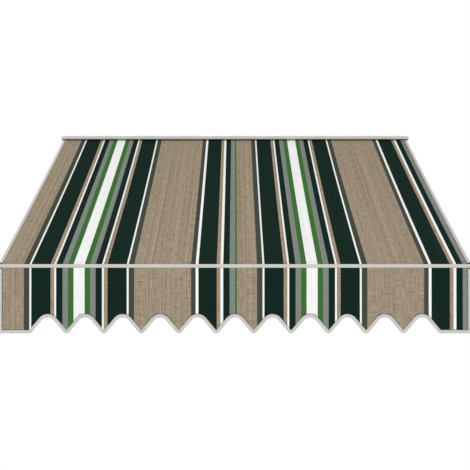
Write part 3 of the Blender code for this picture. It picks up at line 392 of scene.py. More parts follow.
def zinc_plate():
    finish = surface("zinc_plate", (0.55, 0.56, 0.56), 0.42, 0.85, 500.0, 0.00003)
    spangle = finish.node("ShaderNodeTexVoronoi", {"Vector": finish.place(), "Scale": 110.0})
    grey = finish.node("ShaderNodeSeparateColor", {0: spangle.outputs["Color"]}).outputs[0]
    tone = finish.between(grey, 0.86, 1.08)
    finish.feed(finish.shader.inputs["Base Color"], finish.shade((0.55, 0.56, 0.56, 1.0), tone))
    return finish


def finishes(colours):
    """The finish of each material slot of the record."""
    drawn = (0.04, 1.0, 1.0)
    return {
        "coated": surface("powder_coat", colours.coat, 0.45, 0.0, 700.0, 0.00005, 0.02),
        "cast": surface("coated_casting", colours.cast, 0.5, 0.3, 420.0, 0.00012, 0.05),
        "zinc": zinc_plate(),
        "steel": surface("bright_steel", (0.56, 0.56, 0.57), 0.28, 1.0, 900.0, 0.00002, 0.06),
        "motor": surface("drawn_tube", (0.64, 0.65, 0.66), 0.3, 0.95, 600.0, 0.00002, 0.04, drawn),
        "plastic": surface("moulded_cap", colours.plastic, 0.5, 0.0, 1100.0, 0.00004, 0.02),
        "black": surface("black_plastic", (0.02, 0.02, 0.02), 0.55, 0.0, 900.0, 0.00005, 0.1),
        "rod": surface("edge_rod", (0.74, 0.74, 0.72), 0.5, 0.0, 800.0, 0.00002, 0.03, drawn),
    }


# Meshes


def mesh_object(name, points, faces, material, maps=None, smooth=True):
    """A mesh object at the origin; maps holds (u, v) in metres for each point."""
    mesh = bpy.data.meshes.new(name)
    mesh.from_pydata([tuple(map(float, p)) for p in points], [], faces)
    mesh.materials.append(material)
    mesh.polygons.foreach_set("use_smooth", [smooth] * len(mesh.polygons))
    if maps is not None:
        layer = mesh.uv_layers.new(name="cloth")
        corners = np.zeros(len(mesh.loops), np.int32)
        mesh.loops.foreach_get("vertex_index", corners)
        layer.data.foreach_set("uv", np.asarray(maps, np.float32)[corners].ravel())
    mesh.validate()
    mesh.update()
    made = bpy.data.objects.new(name, mesh)
    bpy.context.scene.collection.objects.link(made)
    return made


def run_along(line):
    """Distance along a line at each of its points."""
    steps = np.linalg.norm(np.diff(line, axis=0), axis=1)
    return np.concatenate([[0.0], np.cumsum(steps)])


def sheet_object(name, grid, maps, edge, material, wall=CLOTH):
    """A closed thin sheet about a grid of points; edge is each point's distance to a bound edge."""
    rows, columns = grid.shape[:2]
    normal = np.cross(np.gradient(grid, axis=1), np.gradient(grid, axis=0))
    normal /= np.linalg.norm(normal, axis=2, keepdims=True)
    points = np.concatenate([(grid + normal * side * wall / 2).reshape(-1, 3) for side in (1, -1)])
    back = rows * columns
    faces = []
    for r in range(rows - 1):
        for c in range(columns - 1):
            a = r * columns + c
            quad = (a, a + columns, a + columns + 1, a + 1)
            faces.append(quad[::-1])
            faces.append(tuple(i + back for i in quad))
    rim = list(range(columns))
    rim += [r * columns + columns - 1 for r in range(1, rows)]
    rim += [(rows - 1) * columns + c for c in range(columns - 2, -1, -1)]
    rim += [r * columns for r in range(rows - 2, 0, -1)]
    for a, b in zip(rim, rim[1:] + rim[:1]):
        faces.append((b, a, a + back, b + back))
    made = mesh_object(name, points, faces, material, np.tile(maps.reshape(-1, 2), (2, 1)))
    layer = made.data.attributes.new("edge", "FLOAT", "POINT")
    layer.data.foreach_set("value", np.tile(edge.ravel(), 2).astype(np.float32))
    outward(made)
    return made


def outward(obj):
    """Turns a closed mesh right side out."""
    mesh = obj.data
    mesh.calc_loop_triangles()
    volume = 0.0
    for tri in mesh.loop_triangles:
        a, b, c = (mesh.vertices[i].co for i in tri.vertices)
        volume += a.dot(b.cross(c))
    if volume < 0:
        mesh.flip_normals()


def swept(name, path, aside, above, section, material):
    """A closed band along a path: section holds (distance aside, height) round the band."""
    path, aside, above = (np.asarray(a, float) for a in (path, aside, above))
    section = np.asarray(section, float)
    count = len(section)
    points = (
        path[:, None]
        + aside[:, None] * section[None, :, 0, None]
        + above[:, None] * section[None, :, 1, None]
    )
    maps = np.stack(np.meshgrid(run_along(section), run_along(path)), axis=2).reshape(-1, 2)
    faces = [tuple(range(count))[::-1], tuple((len(path) - 1) * count + i for i in range(count))]
    for r in range(len(path) - 1):
        for c in range(count):
            d = (c + 1) % count
            a = r * count
            faces.append((a + c, a + d, a + count + d, a + count + c))
    made = mesh_object(name, points.reshape(-1, 3), faces, material, maps, smooth=False)
    outward(made)
    return made


def band_section():
    """A tape folded round an edge, with its fold at 0 and its open side inward."""
    slot = CLOTH / 2 + TAPE_GAP
    outside = [(TAPE_WIDTH, TAPE_HALF), (0.0009, TAPE_HALF), (0.0002, TAPE_HALF * 0.6), (0, 0)]
    outside += [(a, -h) for a, h in outside[-2::-1]]
    return outside + [(TAPE_WIDTH, -slot), (TAPE, -slot), (TAPE, slot), (TAPE_WIDTH, slot)]


def shown(obj, body, slot, *nodes):
    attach(obj, body)
    if nodes:
        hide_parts(*nodes)
    return obj


def shortens(obj):
    """Gives the piece its own copy of its mesh."""
    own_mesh(obj)
    return obj


# Shapes that the cloth follows


def arc(centre, radius, start, end, count):
    angles = np.linspace(start, end, count + 1)
    return np.stack([centre[0] + radius * np.cos(angles), centre[1] + radius * np.sin(angles)], 1)


def on_bar(points):
    """(y, z) of points given forward of and above the front bar's top front edge."""
    points = np.asarray(points, float)
    return np.stack([BAR_EDGE.y - points[:, 0], BAR_EDGE.z + points[:, 1]], axis=1)


def bar_bend():
    """The canopy's bend from the slope down into the front bar's top groove."""
    p = TOP_GROOVE_P - BEND
    q = -(p + BEND * sin(PITCH)) * tan(PITCH) - BEND * cos(PITCH)
    return arc((p, q), BEND, pi / 2 - PITCH, 0.0, 6)


BEND_START = (Vector((0.0, *on_bar(bar_bend())[0])) - TANGENT).dot(DOWN_SLOPE)


def sag_at(x, s, drop):
    """The canopy's height off its straight line: a shallow belly, fuller in each cloth width."""
    t = np.clip(s / BEND_START, 0.0, 1.0)
    width = np.abs(x) / HALF
    belly = 4 * t * (1 - t) * (0.72 + 0.28 * np.sin(pi * width) ** 2)
    edge = np.clip((1 - width) / 0.12, 0.0, 1.0)
    ripple = 0.0009 * np.sin(2 * pi * (x / 0.41 + 0.7 * t)) * np.sin(pi * t) ** 2 * edge
    lap = 0.0005 * (np.abs(x) < SEAM_HALF)
    return -drop * belly + ripple + lap


def canopy_point(x, s, drop):
    height = sag_at(x, s, drop)
    point = np.zeros((*np.shape(x), 3))
    point[..., 0] = x
    point[..., 1] = TANGENT.y + s * DOWN_SLOPE.y + height * UP_NORMAL.y
    point[..., 2] = TANGENT.z + s * DOWN_SLOPE.z + height * UP_NORMAL.z
    return point


def roll_radius(angle):
    """The cloth's distance from the roller's axis, where it has turned to an angle."""
    return ROLL_EXIT - ROLL_PITCH * (ROLL_END - angle) / (2 * pi)


def across_places():
    """Places across the canopy: even columns, with a close pair at each side of the seam."""
    even = np.linspace(-HALF + TAPE, HALF - TAPE, 131)
    seam = [-SEAM_HALF - 0.0006, -SEAM_HALF + 0.0004, SEAM_HALF - 0.0004, SEAM_HALF + 0.0006]
    return np.unique(np.concatenate([even[np.abs(even) > 0.012], seam, [0.0]]))


def lower_edge(x):
    """Height of the valance's lower edge: flat ends, round tips and round notches."""
    low = VALANCE_LOW
    tips = (np.arange(WAVE_NOTCHES + 1) - WAVE_NOTCHES / 2) * WAVE_PITCH
    aside = np.min(np.abs(np.asarray(x)[..., None] - tips), axis=-1)
    inside = np.abs(x) < tips[-1]
    reach = WAVE_TIP * sin(WAVE_FLANK)
    rise = WAVE_TIP * (1 - cos(WAVE_FLANK)) + (aside - reach) * tan(WAVE_FLANK)
    tip = WAVE_TIP - np.sqrt(np.clip(WAVE_TIP**2 - aside**2, 0, None))
    crest = WAVE_PITCH / 2 - aside
    notch = WAVE_DEPTH - NOTCH_TIP + np.sqrt(np.clip(NOTCH_TIP**2 - crest**2, 0, None))
    wave = np.where(aside < reach, tip, rise)
    wave = np.where(crest < NOTCH_TIP * sin(WAVE_FLANK), notch, wave)
    return low + np.where(inside, wave, 0.0)


def flute_at(x, z, depth):
    """How far forward the valance stands: soft flutes that grow towards its lower edge."""
    top = BAR_EDGE.z + NOSE_GROOVE_Q - BEND
    t = np.clip((top - z) / (top - VALANCE_LOW), 0.0, 1.0)
    wave = np.sin(2 * pi * x / 0.57 + 0.6) + 0.5 * np.sin(2 * pi * x / 0.31 + 2.0)
    return depth * t**1.5 * (wave + 1.2) / 2


def valance_edge():
    """The valance's outline, down one side, along the waves and up the other, and at each
    point the inward step of a mitred line that stays one metre inside."""
    x = np.arange(-HALF + TAPE_WIDTH + 0.0005, HALF - TAPE_WIDTH, OUTLINE_PITCH)
    x = np.concatenate([[-HALF], x, [HALF]])
    low = np.stack([x, lower_edge(x)], 1)
    top = BAR_EDGE.z + NOSE_GROOVE_Q - 2 * BEND
    rise = np.linspace(top, VALANCE_LOW + TAPE_WIDTH, SIDE_ROWS)
    left = np.stack([np.full(SIDE_ROWS, -HALF), rise], 1)
    right = np.stack([np.full(SIDE_ROWS, HALF), rise[::-1]], 1)
    line = np.concatenate([left, low, right])
    run = np.diff(line, axis=0)
    run /= np.linalg.norm(run, axis=1, keepdims=True)
    after = np.concatenate([run, run[-1:]])
    ahead = np.concatenate([run[:1], run]) + after
    ahead /= np.linalg.norm(ahead, axis=1, keepdims=True)
    ahead /= (ahead * after).sum(1, keepdims=True)
    return line, np.stack([-ahead[:, 1], ahead[:, 0]], 1)


def valance_place(plane, depth, forward=0.0):
    """Points on the valance from (x, z), standing forward of the cloth's middle."""
    x, z = plane[:, 0], plane[:, 1]
    y = BAR_EDGE.y - VALANCE_P - flute_at(x, z, depth) - forward
    return np.stack([x, y, z], 1)


# Stitches and screws, laid out by node trees


def tree_with(name, sizes):
    """A geometry node tree with its input mesh, its named sizes and its output."""
    tree = bpy.data.node_groups.new(name, "GeometryNodeTree")
    tree.interface.new_socket("Geometry", in_out="INPUT", socket_type="NodeSocketGeometry")
    for label, kind in sizes:
        tree.interface.new_socket(label, in_out="INPUT", socket_type=kind)
    tree.interface.new_socket("Geometry", in_out="OUTPUT", socket_type="NodeSocketGeometry")
    return tree, tree.nodes.new("NodeGroupInput"), tree.nodes.new("NodeGroupOutput")


def link_all(tree, *pairs):
    for out, into in pairs:
        tree.links.new(out, into)


def end_of_tree(tree, instances, source, outcome):
    """Realize Instances and Set Material, which every tree ends in."""
    real = tree.nodes.new("GeometryNodeRealizeInstances")
    paint = tree.nodes.new("GeometryNodeSetMaterial")
    link_all(
        tree,
        (instances, real.inputs[0]),
        (real.outputs[0], paint.inputs["Geometry"]),
        (source.outputs["Finish"], paint.inputs["Material"]),
        (paint.outputs[0], outcome.inputs[0]),
    )


def stitch_tree():
    """Stitches at an even pitch along a line of edges, lying on the surface that faces Facing."""
    sizes = [("Pitch", "NodeSocketFloat"), ("Stitch", "NodeSocketVector")]
    sizes += [("Facing", "NodeSocketVector"), ("Finish", "NodeSocketMaterial")]
    tree, source, outcome = tree_with("stitch_row", sizes)
    new = tree.nodes.new
    line = new("GeometryNodeMeshToCurve")
    spaced = new("GeometryNodeResampleCurve")
    spaced.mode = "LENGTH"
    bead = new("GeometryNodeMeshUVSphere")
    bead.inputs["Segments"].default_value = 6
    bead.inputs["Rings"].default_value = 4
    bead.inputs["Radius"].default_value = 0.5
    along = new("GeometryNodeInputTangent")
    lift = new("FunctionNodeAlignRotationToVector")
    lift.axis = "Z"
    turn = new("FunctionNodeAlignRotationToVector")
    turn.axis = "X"
    turn.pivot_axis = "Z"
    laid = new("GeometryNodeInstanceOnPoints")
    link_all(
        tree,
        (source.outputs["Geometry"], line.inputs["Mesh"]),
        (line.outputs[0], spaced.inputs["Curve"]),
        (source.outputs["Pitch"], spaced.inputs["Length"]),
        (spaced.outputs[0], laid.inputs["Points"]),
        (bead.outputs["Mesh"], laid.inputs["Instance"]),
        (source.outputs["Facing"], lift.inputs["Vector"]),
        (lift.outputs[0], turn.inputs["Rotation"]),
        (along.outputs[0], turn.inputs["Vector"]),
        (turn.outputs[0], laid.inputs["Rotation"]),
        (source.outputs["Stitch"], laid.inputs["Scale"]),
    )
    end_of_tree(tree, laid.outputs[0], source, outcome)
    return tree


def screw_tree():
    """One pan head at each point, facing the point's own direction; sizes in head radii."""
    sizes = [("Radius", "NodeSocketFloat"), ("Finish", "NodeSocketMaterial")]
    tree, source, outcome = tree_with("pan_heads", sizes)
    new = tree.nodes.new
    points = new("GeometryNodeMeshToPoints")
    facing = new("GeometryNodeInputNamedAttribute")
    facing.data_type = "FLOAT_VECTOR"
    facing.inputs["Name"].default_value = "facing"
    turn = new("FunctionNodeAlignRotationToVector")
    turn.axis = "Z"
    washer = new("GeometryNodeMeshCylinder")
    head = new("GeometryNodeMeshCone")
    slot = new("GeometryNodeMeshCube")
    for made, values in (
        (washer, {"Vertices": 20, "Radius": 1.35, "Depth": 0.3}),
        (head, {"Vertices": 20, "Radius Top": 0.62, "Radius Bottom": 1.0, "Depth": 0.55}),
        (slot, {"Size": (1.1, 0.22, 0.30)}),
    ):
        for key, value in values.items():
            made.inputs[key].default_value = value
    lower = new("GeometryNodeTransform")
    lower.inputs["Translation"].default_value = (0.0, 0.0, 0.15)
    raised = new("GeometryNodeTransform")
    raised.inputs["Translation"].default_value = (0.0, 0.0, 0.29)
    drive = new("GeometryNodeTransform")
    drive.inputs["Translation"].default_value = (0.0, 0.0, 0.80)
    cut = new("GeometryNodeMeshBoolean")
    cut.operation = "DIFFERENCE"
    whole = new("GeometryNodeJoinGeometry")
    laid = new("GeometryNodeInstanceOnPoints")
    link_all(
        tree,
        (source.outputs["Geometry"], points.inputs["Mesh"]),
        (points.outputs[0], laid.inputs["Points"]),
        (facing.outputs["Attribute"], turn.inputs["Vector"]),
        (turn.outputs[0], laid.inputs["Rotation"]),
        (washer.outputs["Mesh"], lower.inputs[0]),
        (head.outputs["Mesh"], raised.inputs[0]),
        (slot.outputs["Mesh"], drive.inputs[0]),
        (raised.outputs[0], cut.inputs["Mesh 1"]),
        (drive.outputs[0], cut.inputs["Mesh 2"]),
        (lower.outputs[0], whole.inputs[0]),
        (cut.outputs["Mesh"], whole.inputs[0]),
        (whole.outputs[0], laid.inputs["Instance"]),
        (source.outputs["Radius"], laid.inputs["Scale"]),
    )
    end_of_tree(tree, laid.outputs[0], source, outcome)
    return tree


def laid_out(name, points, edges, tree, values, vectors=None):
    """The plain mesh that a node tree makes from points and edges."""
    mesh = bpy.data.meshes.new(name)
    mesh.from_pydata([tuple(map(float, p)) for p in points], edges, [])
    if vectors is not None:
        layer = mesh.attributes.new("facing", "FLOAT_VECTOR", "POINT")
        layer.data.foreach_set("vector", np.asarray(vectors, np.float32).ravel())
    guide = bpy.data.objects.new(name + "_guide", mesh)
    bpy.context.scene.collection.objects.link(guide)
    modifier = guide.modifiers.new("layout", "NODES")
    modifier.node_group = tree
    for item in tree.interface.items_tree:
        if item.in_out == "INPUT" and item.name in values:
            modifier[item.identifier] = values[item.name]
    ready = guide.evaluated_get(bpy.context.evaluated_depsgraph_get())
    plain = bpy.data.meshes.new_from_object(ready)
    plain.name = name
    plain.polygons.foreach_set("use_smooth", [True] * len(plain.polygons))
    bpy.data.objects.remove(guide)
    made = bpy.data.objects.new(name, plain)
    bpy.context.scene.collection.objects.link(made)
    return made


def stitch_rows(name, lines, facing, sizes, thread="light_thread"):
    """Rows of stitches, one mesh for all lines."""
    points, edges = [], []
    for line in lines:
        start = len(points)
        points += list(line)
        edges += [(i, i + 1) for i in range(start, len(points) - 1)]
    tree = bpy.data.node_groups.get("stitch_row") or stitch_tree()
    values = {
        "Pitch": sizes.stitch_pitch,
        "Stitch": (sizes.stitch, sizes.thread, sizes.thread * 0.8),
        "Facing": tuple(facing),
        "Finish": bpy.data.materials[thread],
    }
    return laid_out(name, points, edges, tree, values)


def screws(name, places, radius):
    """Pan heads at (place, facing) pairs."""
    tree = bpy.data.node_groups.get("pan_heads") or screw_tree()
    values = {"Radius": radius, "Finish": bpy.data.materials["bright_steel"]}
    points, vectors = zip(*places)
    return laid_out(name, points, [], tree, values, vectors)


# One operator for each piece or group of like pieces


class MakeFinishes(bpy.types.Operator):
    """Makes every finish and gives each solid of the frame its own"""

    bl_idname = "awning.finishes"
    bl_label = "Finishes"

    def execute(self, context):
        cloth = context.scene.awning_colours
        striped_cloth(cloth)
        tape_cloth(cloth)
        sewing_thread("light_thread", cloth.yarn)
        sewing_thread("dark_thread", cloth.charcoal)
        made = finishes(context.scene.awning_frame)
        for row in frame["record"]["subparts"]:
            if row["material_slot"] in made:
                mesh = frame["nodes"][row["node"]].data
                mesh.materials.clear()
                mesh.materials.append(made[row["material_slot"]].material)
        return {"FINISHED"}


class MakeCanopy(bpy.types.Operator):
    """Makes the sloping canopy, its turns on the roller and its hem in the front bar"""

    bl_idname = "awning.canopy"
    bl_label = "Canopy"

    def execute(self, context):
        sizes = context.scene.awning_cloth
        striped = bpy.data.materials["striped_cloth"]
        x, s = np.meshgrid(across_places(), np.linspace(0.0, BEND_START - BEND_GAP, 101))
        grid = canopy_point(x, s, sizes.sag)
        maps = np.stack([x + HALF, s], 2)
        canopy = sheet_object("canopy_slope", grid, maps, HALF - np.abs(x), striped)
        shown(canopy, "wall_frame", "cloth", "canopy")
        wound = self.wound_cloth(striped)
        shortens(canopy)
        layer = self.hem_layer(striped, sizes)
        shortens(layer)
        loop = self.hem_loop(striped)
        return {"FINISHED"}

    def wound_cloth(self, striped):
        start = ROLL_END - ROLL_TURNS * 2 * pi
        angle = np.linspace(start + CLOTH_LATE, ROLL_END, 81)
        x, turn = np.meshgrid(np.linspace(-HALF + TAPE, HALF - TAPE, 25), angle)
        reach = np.broadcast_to(roll_radius(angle)[:, None], x.shape)
        grid = np.stack(
            [x, ROLLER.y + reach * np.cos(turn), ROLLER.z + reach * np.sin(turn)], axis=2
        )
        maps = np.stack([x + HALF, turn * ROLL_EXIT], 2)
        wound = sheet_object("canopy_on_roller", grid, maps, HALF - np.abs(x), striped)
        return shown(wound, "wall_frame", "cloth", "canopy")

    def hem_layer(self, striped, sizes):
        """The cloth's doubled end, sewn on under its front edge between the bindings."""
        side = HALF - TAPE_WIDTH - 0.001
        x, s = np.meshgrid(
            np.linspace(-side, side, 61), np.linspace(BEND_START - HEM, BEND_START - BEND_GAP, 7)
        )
        grid = canopy_point(x, s, sizes.sag) - np.array(tuple(UP_NORMAL)) * (CLOTH + LAYER_GAP)
        maps = np.stack([x + HALF, 2 * BEND_START - s], 2)
        layer = sheet_object("canopy_hem_layer", grid, maps, HALF - np.abs(x), striped)
        return shown(layer, "wall_frame", "cloth", "canopy")

    def hem_loop(self, striped):
        """The end of the cloth over the front bar's bend and round its rod."""
        rod = (TOP_GROOVE_P, -GROOVE_DEPTH)
        loop = arc(rod, LOOP_RADIUS, pi / 2, pi / 2 - radians(300), 12)
        line = on_bar(np.concatenate([bar_bend(), loop]))
        steps = run_along(line)
        x, row = np.meshgrid(np.linspace(-HALF + TAPE, HALF - TAPE, 61), np.arange(len(line)))
        grid = np.stack([x, line[row, 0], line[row, 1]], axis=2)
        maps = np.stack([x + HALF, SLOPE + steps[row]], 2)
        hem = sheet_object("canopy_front_hem", grid, maps, HALF - np.abs(x), striped)
        return shown(hem, "front_bar", "cloth", "canopy")


class MakeBindings(bpy.types.Operator):
    """Folds the grey tape round the canopy's two sides, on the slope and on the roller"""

    bl_idname = "awning.bindings"
    bl_label = "Canopy bindings"

    def execute(self, context):
        sizes = context.scene.awning_cloth
        tape = bpy.data.materials["binding_tape"]
        rows, turn_rows = 61, 81
        angle = np.linspace(ROLL_END - (ROLL_TURNS - TAPE_LATE) * 2 * pi, ROLL_END, turn_rows)
        for name, side in (("left", -1), ("right", 1)):
            s = np.linspace(0.0, BEND_START - BINDING_GAP, rows)
            path = canopy_point(np.full(rows, side * HALF), s, sizes.sag)
            aside = np.tile((-side, 0.0, 0.0), (rows, 1))
            above = np.tile(tuple(UP_NORMAL), (rows, 1))
            node = f"canopy_binding_{name}"
            edge = swept(f"binding_slope_{name}", path, aside, above, band_section(), tape)
            shortens(shown(edge, "wall_frame", "tape", node))
            out = np.stack([np.zeros(turn_rows), np.cos(angle), np.sin(angle)], 1)
            path = out * roll_radius(angle)[:, None] + (side * HALF, ROLLER.y, ROLLER.z)
            aside = np.tile((-side, 0.0, 0.0), (turn_rows, 1))
            turns = swept(f"binding_roller_{name}", path, aside, out, band_section(), tape)
            shown(turns, "wall_frame", "tape", node)
        return {"FINISHED"}


class MakeValance(bpy.types.Operator):
    """Hangs the wave-cut valance from the front bar and binds its edge"""

    bl_idname = "awning.valance"
    bl_label = "Valance"

    def execute(self, context):
        sizes = context.scene.awning_cloth
        striped = bpy.data.materials["striped_cloth"]
        columns = np.unique(
            np.concatenate([np.arange(-HALF + TAPE, HALF - TAPE, COLUMN_PITCH), [HALF - TAPE]])
        )
        rod = (-GROOVE_DEPTH, NOSE_GROOVE_Q)
        loop = arc(rod, LOOP_RADIUS, -radians(300), 0.0, 12)
        bend = arc((VALANCE_P - BEND, NOSE_GROOVE_Q - BEND), BEND, pi / 2, 0.0, 5)
        held = on_bar(np.concatenate([loop, bend]))
        top = held[-1, 1]
        foot = lower_edge(columns) + TAPE
        share = np.linspace(0.0, 1.0, 16)[1:-1]
        rows = [np.full_like(columns, z) for z in held[:, 1]]
        rows += [top + (foot + EDGE_ROWS[0] - top) * t for t in share]
        rows += [foot + d for d in EDGE_ROWS]
        z = np.stack(rows)
        x = np.broadcast_to(columns, z.shape)
        y = np.full_like(z, BAR_EDGE.y - VALANCE_P)
        y -= flute_at(x, z, sizes.flute)
        y[: len(held)] = held[:, 0, None]
        steep = np.abs(np.gradient(foot, columns))
        gap = (z - foot) / np.sqrt(1 + steep**2)
        edge = np.minimum(HALF - np.abs(x), gap)
        down = run_along(held)
        over_bar = np.broadcast_to(down[:, None], (len(held), len(columns)))
        v = np.concatenate([over_bar, down[-1] + top - z[len(held) :]])
        maps = np.stack([x + HALF, v], 2)
        valance = sheet_object("valance_cloth", np.stack([x, y, z], 2), maps, edge, striped)
        shown(valance, "front_bar", "cloth", "valance")
        self.binding(sizes)
        return {"FINISHED"}

    def binding(self, sizes):
        line, inward = valance_edge()
        inner = valance_place(line + inward * TAPE_WIDTH, sizes.flute)
        path = valance_place(line, sizes.flute)
        aside = (inner - path) / TAPE_WIDTH
        above = np.tile(tuple(FACING), (len(line), 1))
        tape = bpy.data.materials["binding_tape"]
        edge = swept("valance_edge_tape", path, aside, above, band_section(), tape)
        shown(edge, "front_bar", "tape", "valance_binding")


class MakeStitching(bpy.types.Operator):
    """Sews the middle seam, the bindings and the hem"""

    bl_idname = "awning.stitching"
    bl_label = "Stitching"

    def execute(self, context):
        sizes = context.scene.awning_cloth
        lift = sizes.thread * 0.25
        count, hem_count = 60, 120
        s = np.linspace(ROW_START, BEND_START - ROW_GAP, count)
        rise = np.array(tuple(UP_NORMAL))
        rows = []
        for x in (-SEAM_HALF + SEAM_ROW, SEAM_HALF - SEAM_ROW):
            rows.append(canopy_point(np.full(count, x), s, sizes.sag) + rise * (CLOTH / 2 + lift))
        for side in (-1, 1):
            bound = canopy_point(np.full(count, side * HALF), s, sizes.sag)
            for row in BINDING_ROWS:
                inset = TAPE_WIDTH - row
                line = canopy_point(np.full(count, side * (HALF - inset)), s, sizes.sag)
                line += (bound - line) * (0, 1, 1)
                rows.append(line + rise * (TAPE_HALF + lift))
        slope = stitch_rows("canopy_stitching", rows, UP_NORMAL, sizes)
        shortens(shown(slope, "wall_frame", "tape"))
        rows = []
        reach = np.linspace(-HALF + TAPE_WIDTH, HALF - TAPE_WIDTH, hem_count)
        for back in HEM_ROWS:
            at = canopy_point(reach, np.full(hem_count, BEND_START - back), sizes.sag)
            rows.append(at + rise * (CLOTH / 2 + lift))
        hem = stitch_rows("hem_stitching", rows, UP_NORMAL, sizes, "dark_thread")
        shortens(shown(hem, "wall_frame", "tape"))
        line, inward = valance_edge()
        line = line + inward * (TAPE_WIDTH - BINDING_ROWS[0])
        rows = [valance_place(line[1:-1], sizes.flute, TAPE_HALF + lift)]
        valance = stitch_rows("valance_stitching", rows, FACING, sizes)
        shown(valance, "front_bar", "tape")
        return {"FINISHED"}


def met(node, start, way):
    """Where a line first meets a solid of the frame, and the way that the surface faces."""
    solid = frame["nodes"][node]
    inward = solid.matrix_world.inverted()
    hit, place, facing, _ = solid.ray_cast(inward @ start, inward.to_3x3() @ way)
    if not hit:
        raise RuntimeError(f"No surface of {node} at this place")
    return solid.matrix_world @ place, (solid.matrix_world.to_3x3() @ facing).normalized()


def long_axis(node):
    """Middle of a long solid, its long direction and half its length."""
    solid = frame["nodes"][node]
    points = np.array([tuple(solid.matrix_world @ v.co) for v in solid.data.vertices])
    middle = points.mean(axis=0)
    ahead = np.linalg.svd(points - middle)[2][0]
    run = (points - middle) @ ahead
    middle = middle + ahead * (run.max() + run.min()) / 2
    return Vector(middle), Vector(ahead), float(run.max() - run.min()) / 2


class MakeScrews(bpy.types.Operator):
    """Puts pan-head screws on the hood, the cheeks, the front bar's caps and the arm tubes"""

    bl_idname = "awning.screws"
    bl_label = "Screws"

    def execute(self, context):
        places = []
        for middle in HOOD_MIDDLES:
            for x, y in HOOD_PLACES:
                places.append(met("hood", Vector((middle + x, y, CLEAR)), Vector((0, 0, -1))))
        for side, name in ((-1, "left"), (1, "right")):
            for y, z in HOOD_CAP_PLACES:
                places.append(self.on_end(f"hood_cap_{name}", side, y, z))
            places.append(self.on_end(f"roller_cheek_{name}", side, *CHEEK_PLACE))
        shown(screws("hood_screws", places, HOOD_SCREW), "wall_frame", "steel")
        places = []
        for side, name in ((-1, "left"), (1, "right")):
            low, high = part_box(f"front_bar_cap_{name}")
            for z in (high.z - CAP_INSET, low.z + CAP_INSET):
                places.append(self.on_end(f"front_bar_cap_{name}", side, (low.y + high.y) / 2, z))
        shown(screws("front_bar_screws", places, BAR_SCREW), "front_bar", "steel")
        for name in ("left", "right"):
            for part in ("upper_arm", "forearm"):
                places = self.on_tube(f"{part}_tube_{name}")
                made = screws(f"{part}_screws_{name}", places, ARM_SCREW)
                shown(made, f"{part}_{name}", "steel")
        return {"FINISHED"}

    def on_end(self, node, side, y, z):
        return met(node, Vector((side * CLEAR_SIDE, y, z)), Vector((-side, 0, 0)))

    def on_tube(self, node):
        """Two screws at each end of a tube, above and below, into the casting inside it."""
        middle, ahead, half = long_axis(node)
        places = []
        outer, inner = TUBE_PLACES
        for reach in (-half + outer, -half + inner, half - inner, half - outer):
            for side in (-1, 1):
                start = middle + ahead * reach + UP_NORMAL * side * CLEAR
                places.append(met(node, start, -side * UP_NORMAL))
        return places


class MakeElbowBelts(bpy.types.Operator):
    """Makes the belts that wrap round the elbows, each a finer copy of the frame's own belt"""

    bl_idname = "awning.elbow_belts"
    bl_label = "Elbow belts"

    def execute(self, context):
        for name in ("left", "right"):
            node = frame["nodes"][f"elbow_belt_{name}"]
            mesh = node.data.copy()
            shape = bmesh.new()
            shape.from_mesh(mesh)
            bmesh.ops.remove_doubles(shape, verts=shape.verts, dist=1e-5)
            bmesh.ops.subdivide_edges(
                shape,
                edges=[e for e in shape.edges if e.calc_length() > 0.006],
                cuts=3,
                use_grid_fill=True,
            )
            shape.to_mesh(mesh)
            shape.free()
            belt = bpy.data.objects.new(f"belt_round_elbow_{name}", mesh)
            bpy.context.scene.collection.objects.link(belt)
            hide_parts(f"elbow_belt_{name}")
            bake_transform(belt)
        return {"FINISHED"}


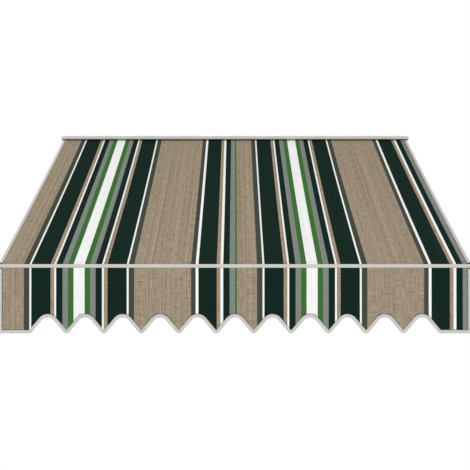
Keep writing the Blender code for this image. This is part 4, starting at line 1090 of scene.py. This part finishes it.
class MakeStage(bpy.types.Operator):
    """Makes the floor, the soft light and the camera"""

    bl_idname = "awning.stage"
    bl_label = "Stage"

    def execute(self, context):
        sizes = context.scene.awning_stage
        self.floor(VALANCE_LOW - sizes.floor)
        self.world()
        for values in LIGHTS:
            self.light(*values)
        data = bpy.data.cameras.new("camera")
        data.sensor_width = 36.0
        data.lens = sizes.lens
        camera = bpy.data.objects.new("camera", data)
        camera.location = (0.0, BAR_EDGE.y - sizes.distance, VALANCE_LOW + sizes.height)
        camera.rotation_euler = (pi / 2, 0.0, 0.0)
        context.scene.collection.objects.link(camera)
        context.scene.camera = camera
        context.scene.view_settings.view_transform = "Standard"
        return {"FINISHED"}

    def floor(self, height):
        """A pale floor below the valance, under what the camera sees."""
        finish = Finish("pale_floor", (0.80, 0.80, 0.79), 0.7)
        sides = ((-1, FLOOR_NEAR), (1, FLOOR_NEAR), (1, FLOOR_FAR), (-1, FLOOR_FAR))
        corners = [(side * FLOOR_HALF, y, height) for side, y in sides]
        mesh_object("floor", corners, [(0, 1, 2, 3)], finish.material)

    def world(self):
        world = bpy.data.worlds.new("plain_white")
        bpy.context.scene.world = world
        world.use_nodes = True
        tree = world.node_tree
        rays = tree.nodes.new("ShaderNodeLightPath")
        seen = tree.nodes.new("ShaderNodeMath")
        seen.operation = "MAXIMUM"
        clear = tree.nodes.new("ShaderNodeMath")
        clear.operation = "MAXIMUM"
        power = tree.nodes.new("ShaderNodeMapRange")
        power.inputs[3].default_value = WORLD_LIGHT
        power.inputs[4].default_value = 1.0
        back = tree.nodes["Background"]
        back.inputs["Color"].default_value = (1.0, 1.0, 1.0, 1.0)
        link_all(
            tree,
            (rays.outputs["Is Camera Ray"], seen.inputs[0]),
            (rays.outputs["Is Glossy Ray"], seen.inputs[1]),
            (seen.outputs[0], clear.inputs[0]),
            (rays.outputs["Is Transmission Ray"], clear.inputs[1]),
            (clear.outputs[0], power.inputs["Value"]),
            (power.outputs[0], back.inputs["Strength"]),
        )

    def light(self, name, place, target, size, power):
        data = bpy.data.lights.new(name, "AREA")
        data.size = size
        data.energy = power
        lamp = bpy.data.objects.new(name, data)
        lamp.location = place
        lamp.rotation_euler = (Vector(target) - Vector(place)).to_track_quat("-Z", "Y").to_euler()
        bpy.context.scene.collection.objects.link(lamp)


class AwningPanel(bpy.types.Panel):
    bl_label = "Awning"
    bl_idname = "VIEW3D_PT_awning"
    bl_space_type = "VIEW_3D"
    bl_region_type = "UI"
    bl_category = "Awning"

    def draw(self, context):
        for group in SETTINGS:
            sizes = getattr(context.scene, group)
            box = self.layout.box()
            for key in sizes.__annotations__:
                box.prop(sizes, key)
        for maker in MAKERS:
            self.layout.operator(maker.bl_idname)


SETTINGS = {
    "awning_cloth": ClothSizes,
    "awning_colours": ClothColours,
    "awning_frame": FrameColours,
    "awning_stage": StageSizes,
}
MAKERS = (
    MakeFinishes,
    MakeCanopy,
    MakeBindings,
    MakeValance,
    MakeStitching,
    MakeScrews,
    MakeElbowBelts,
    MakeStage,
)


def register():
    for kind in (*SETTINGS.values(), *MAKERS, AwningPanel):
        bpy.utils.register_class(kind)
    for name, kind in SETTINGS.items():
        setattr(bpy.types.Scene, name, bpy.props.PointerProperty(type=kind))


def unregister():
    for name in SETTINGS:
        delattr(bpy.types.Scene, name)
    for kind in reversed((*SETTINGS.values(), *MAKERS, AwningPanel)):
        bpy.utils.unregister_class(kind)


def main():
    register()
    bpy.ops.awning.finishes()
    bpy.ops.awning.canopy()
    bpy.ops.awning.bindings()
    bpy.ops.awning.valance()
    bpy.ops.awning.stitching()
    bpy.ops.awning.screws()
    bpy.ops.awning.elbow_belts()
    bpy.ops.awning.stage()


if __name__ == "__main__":
    main()
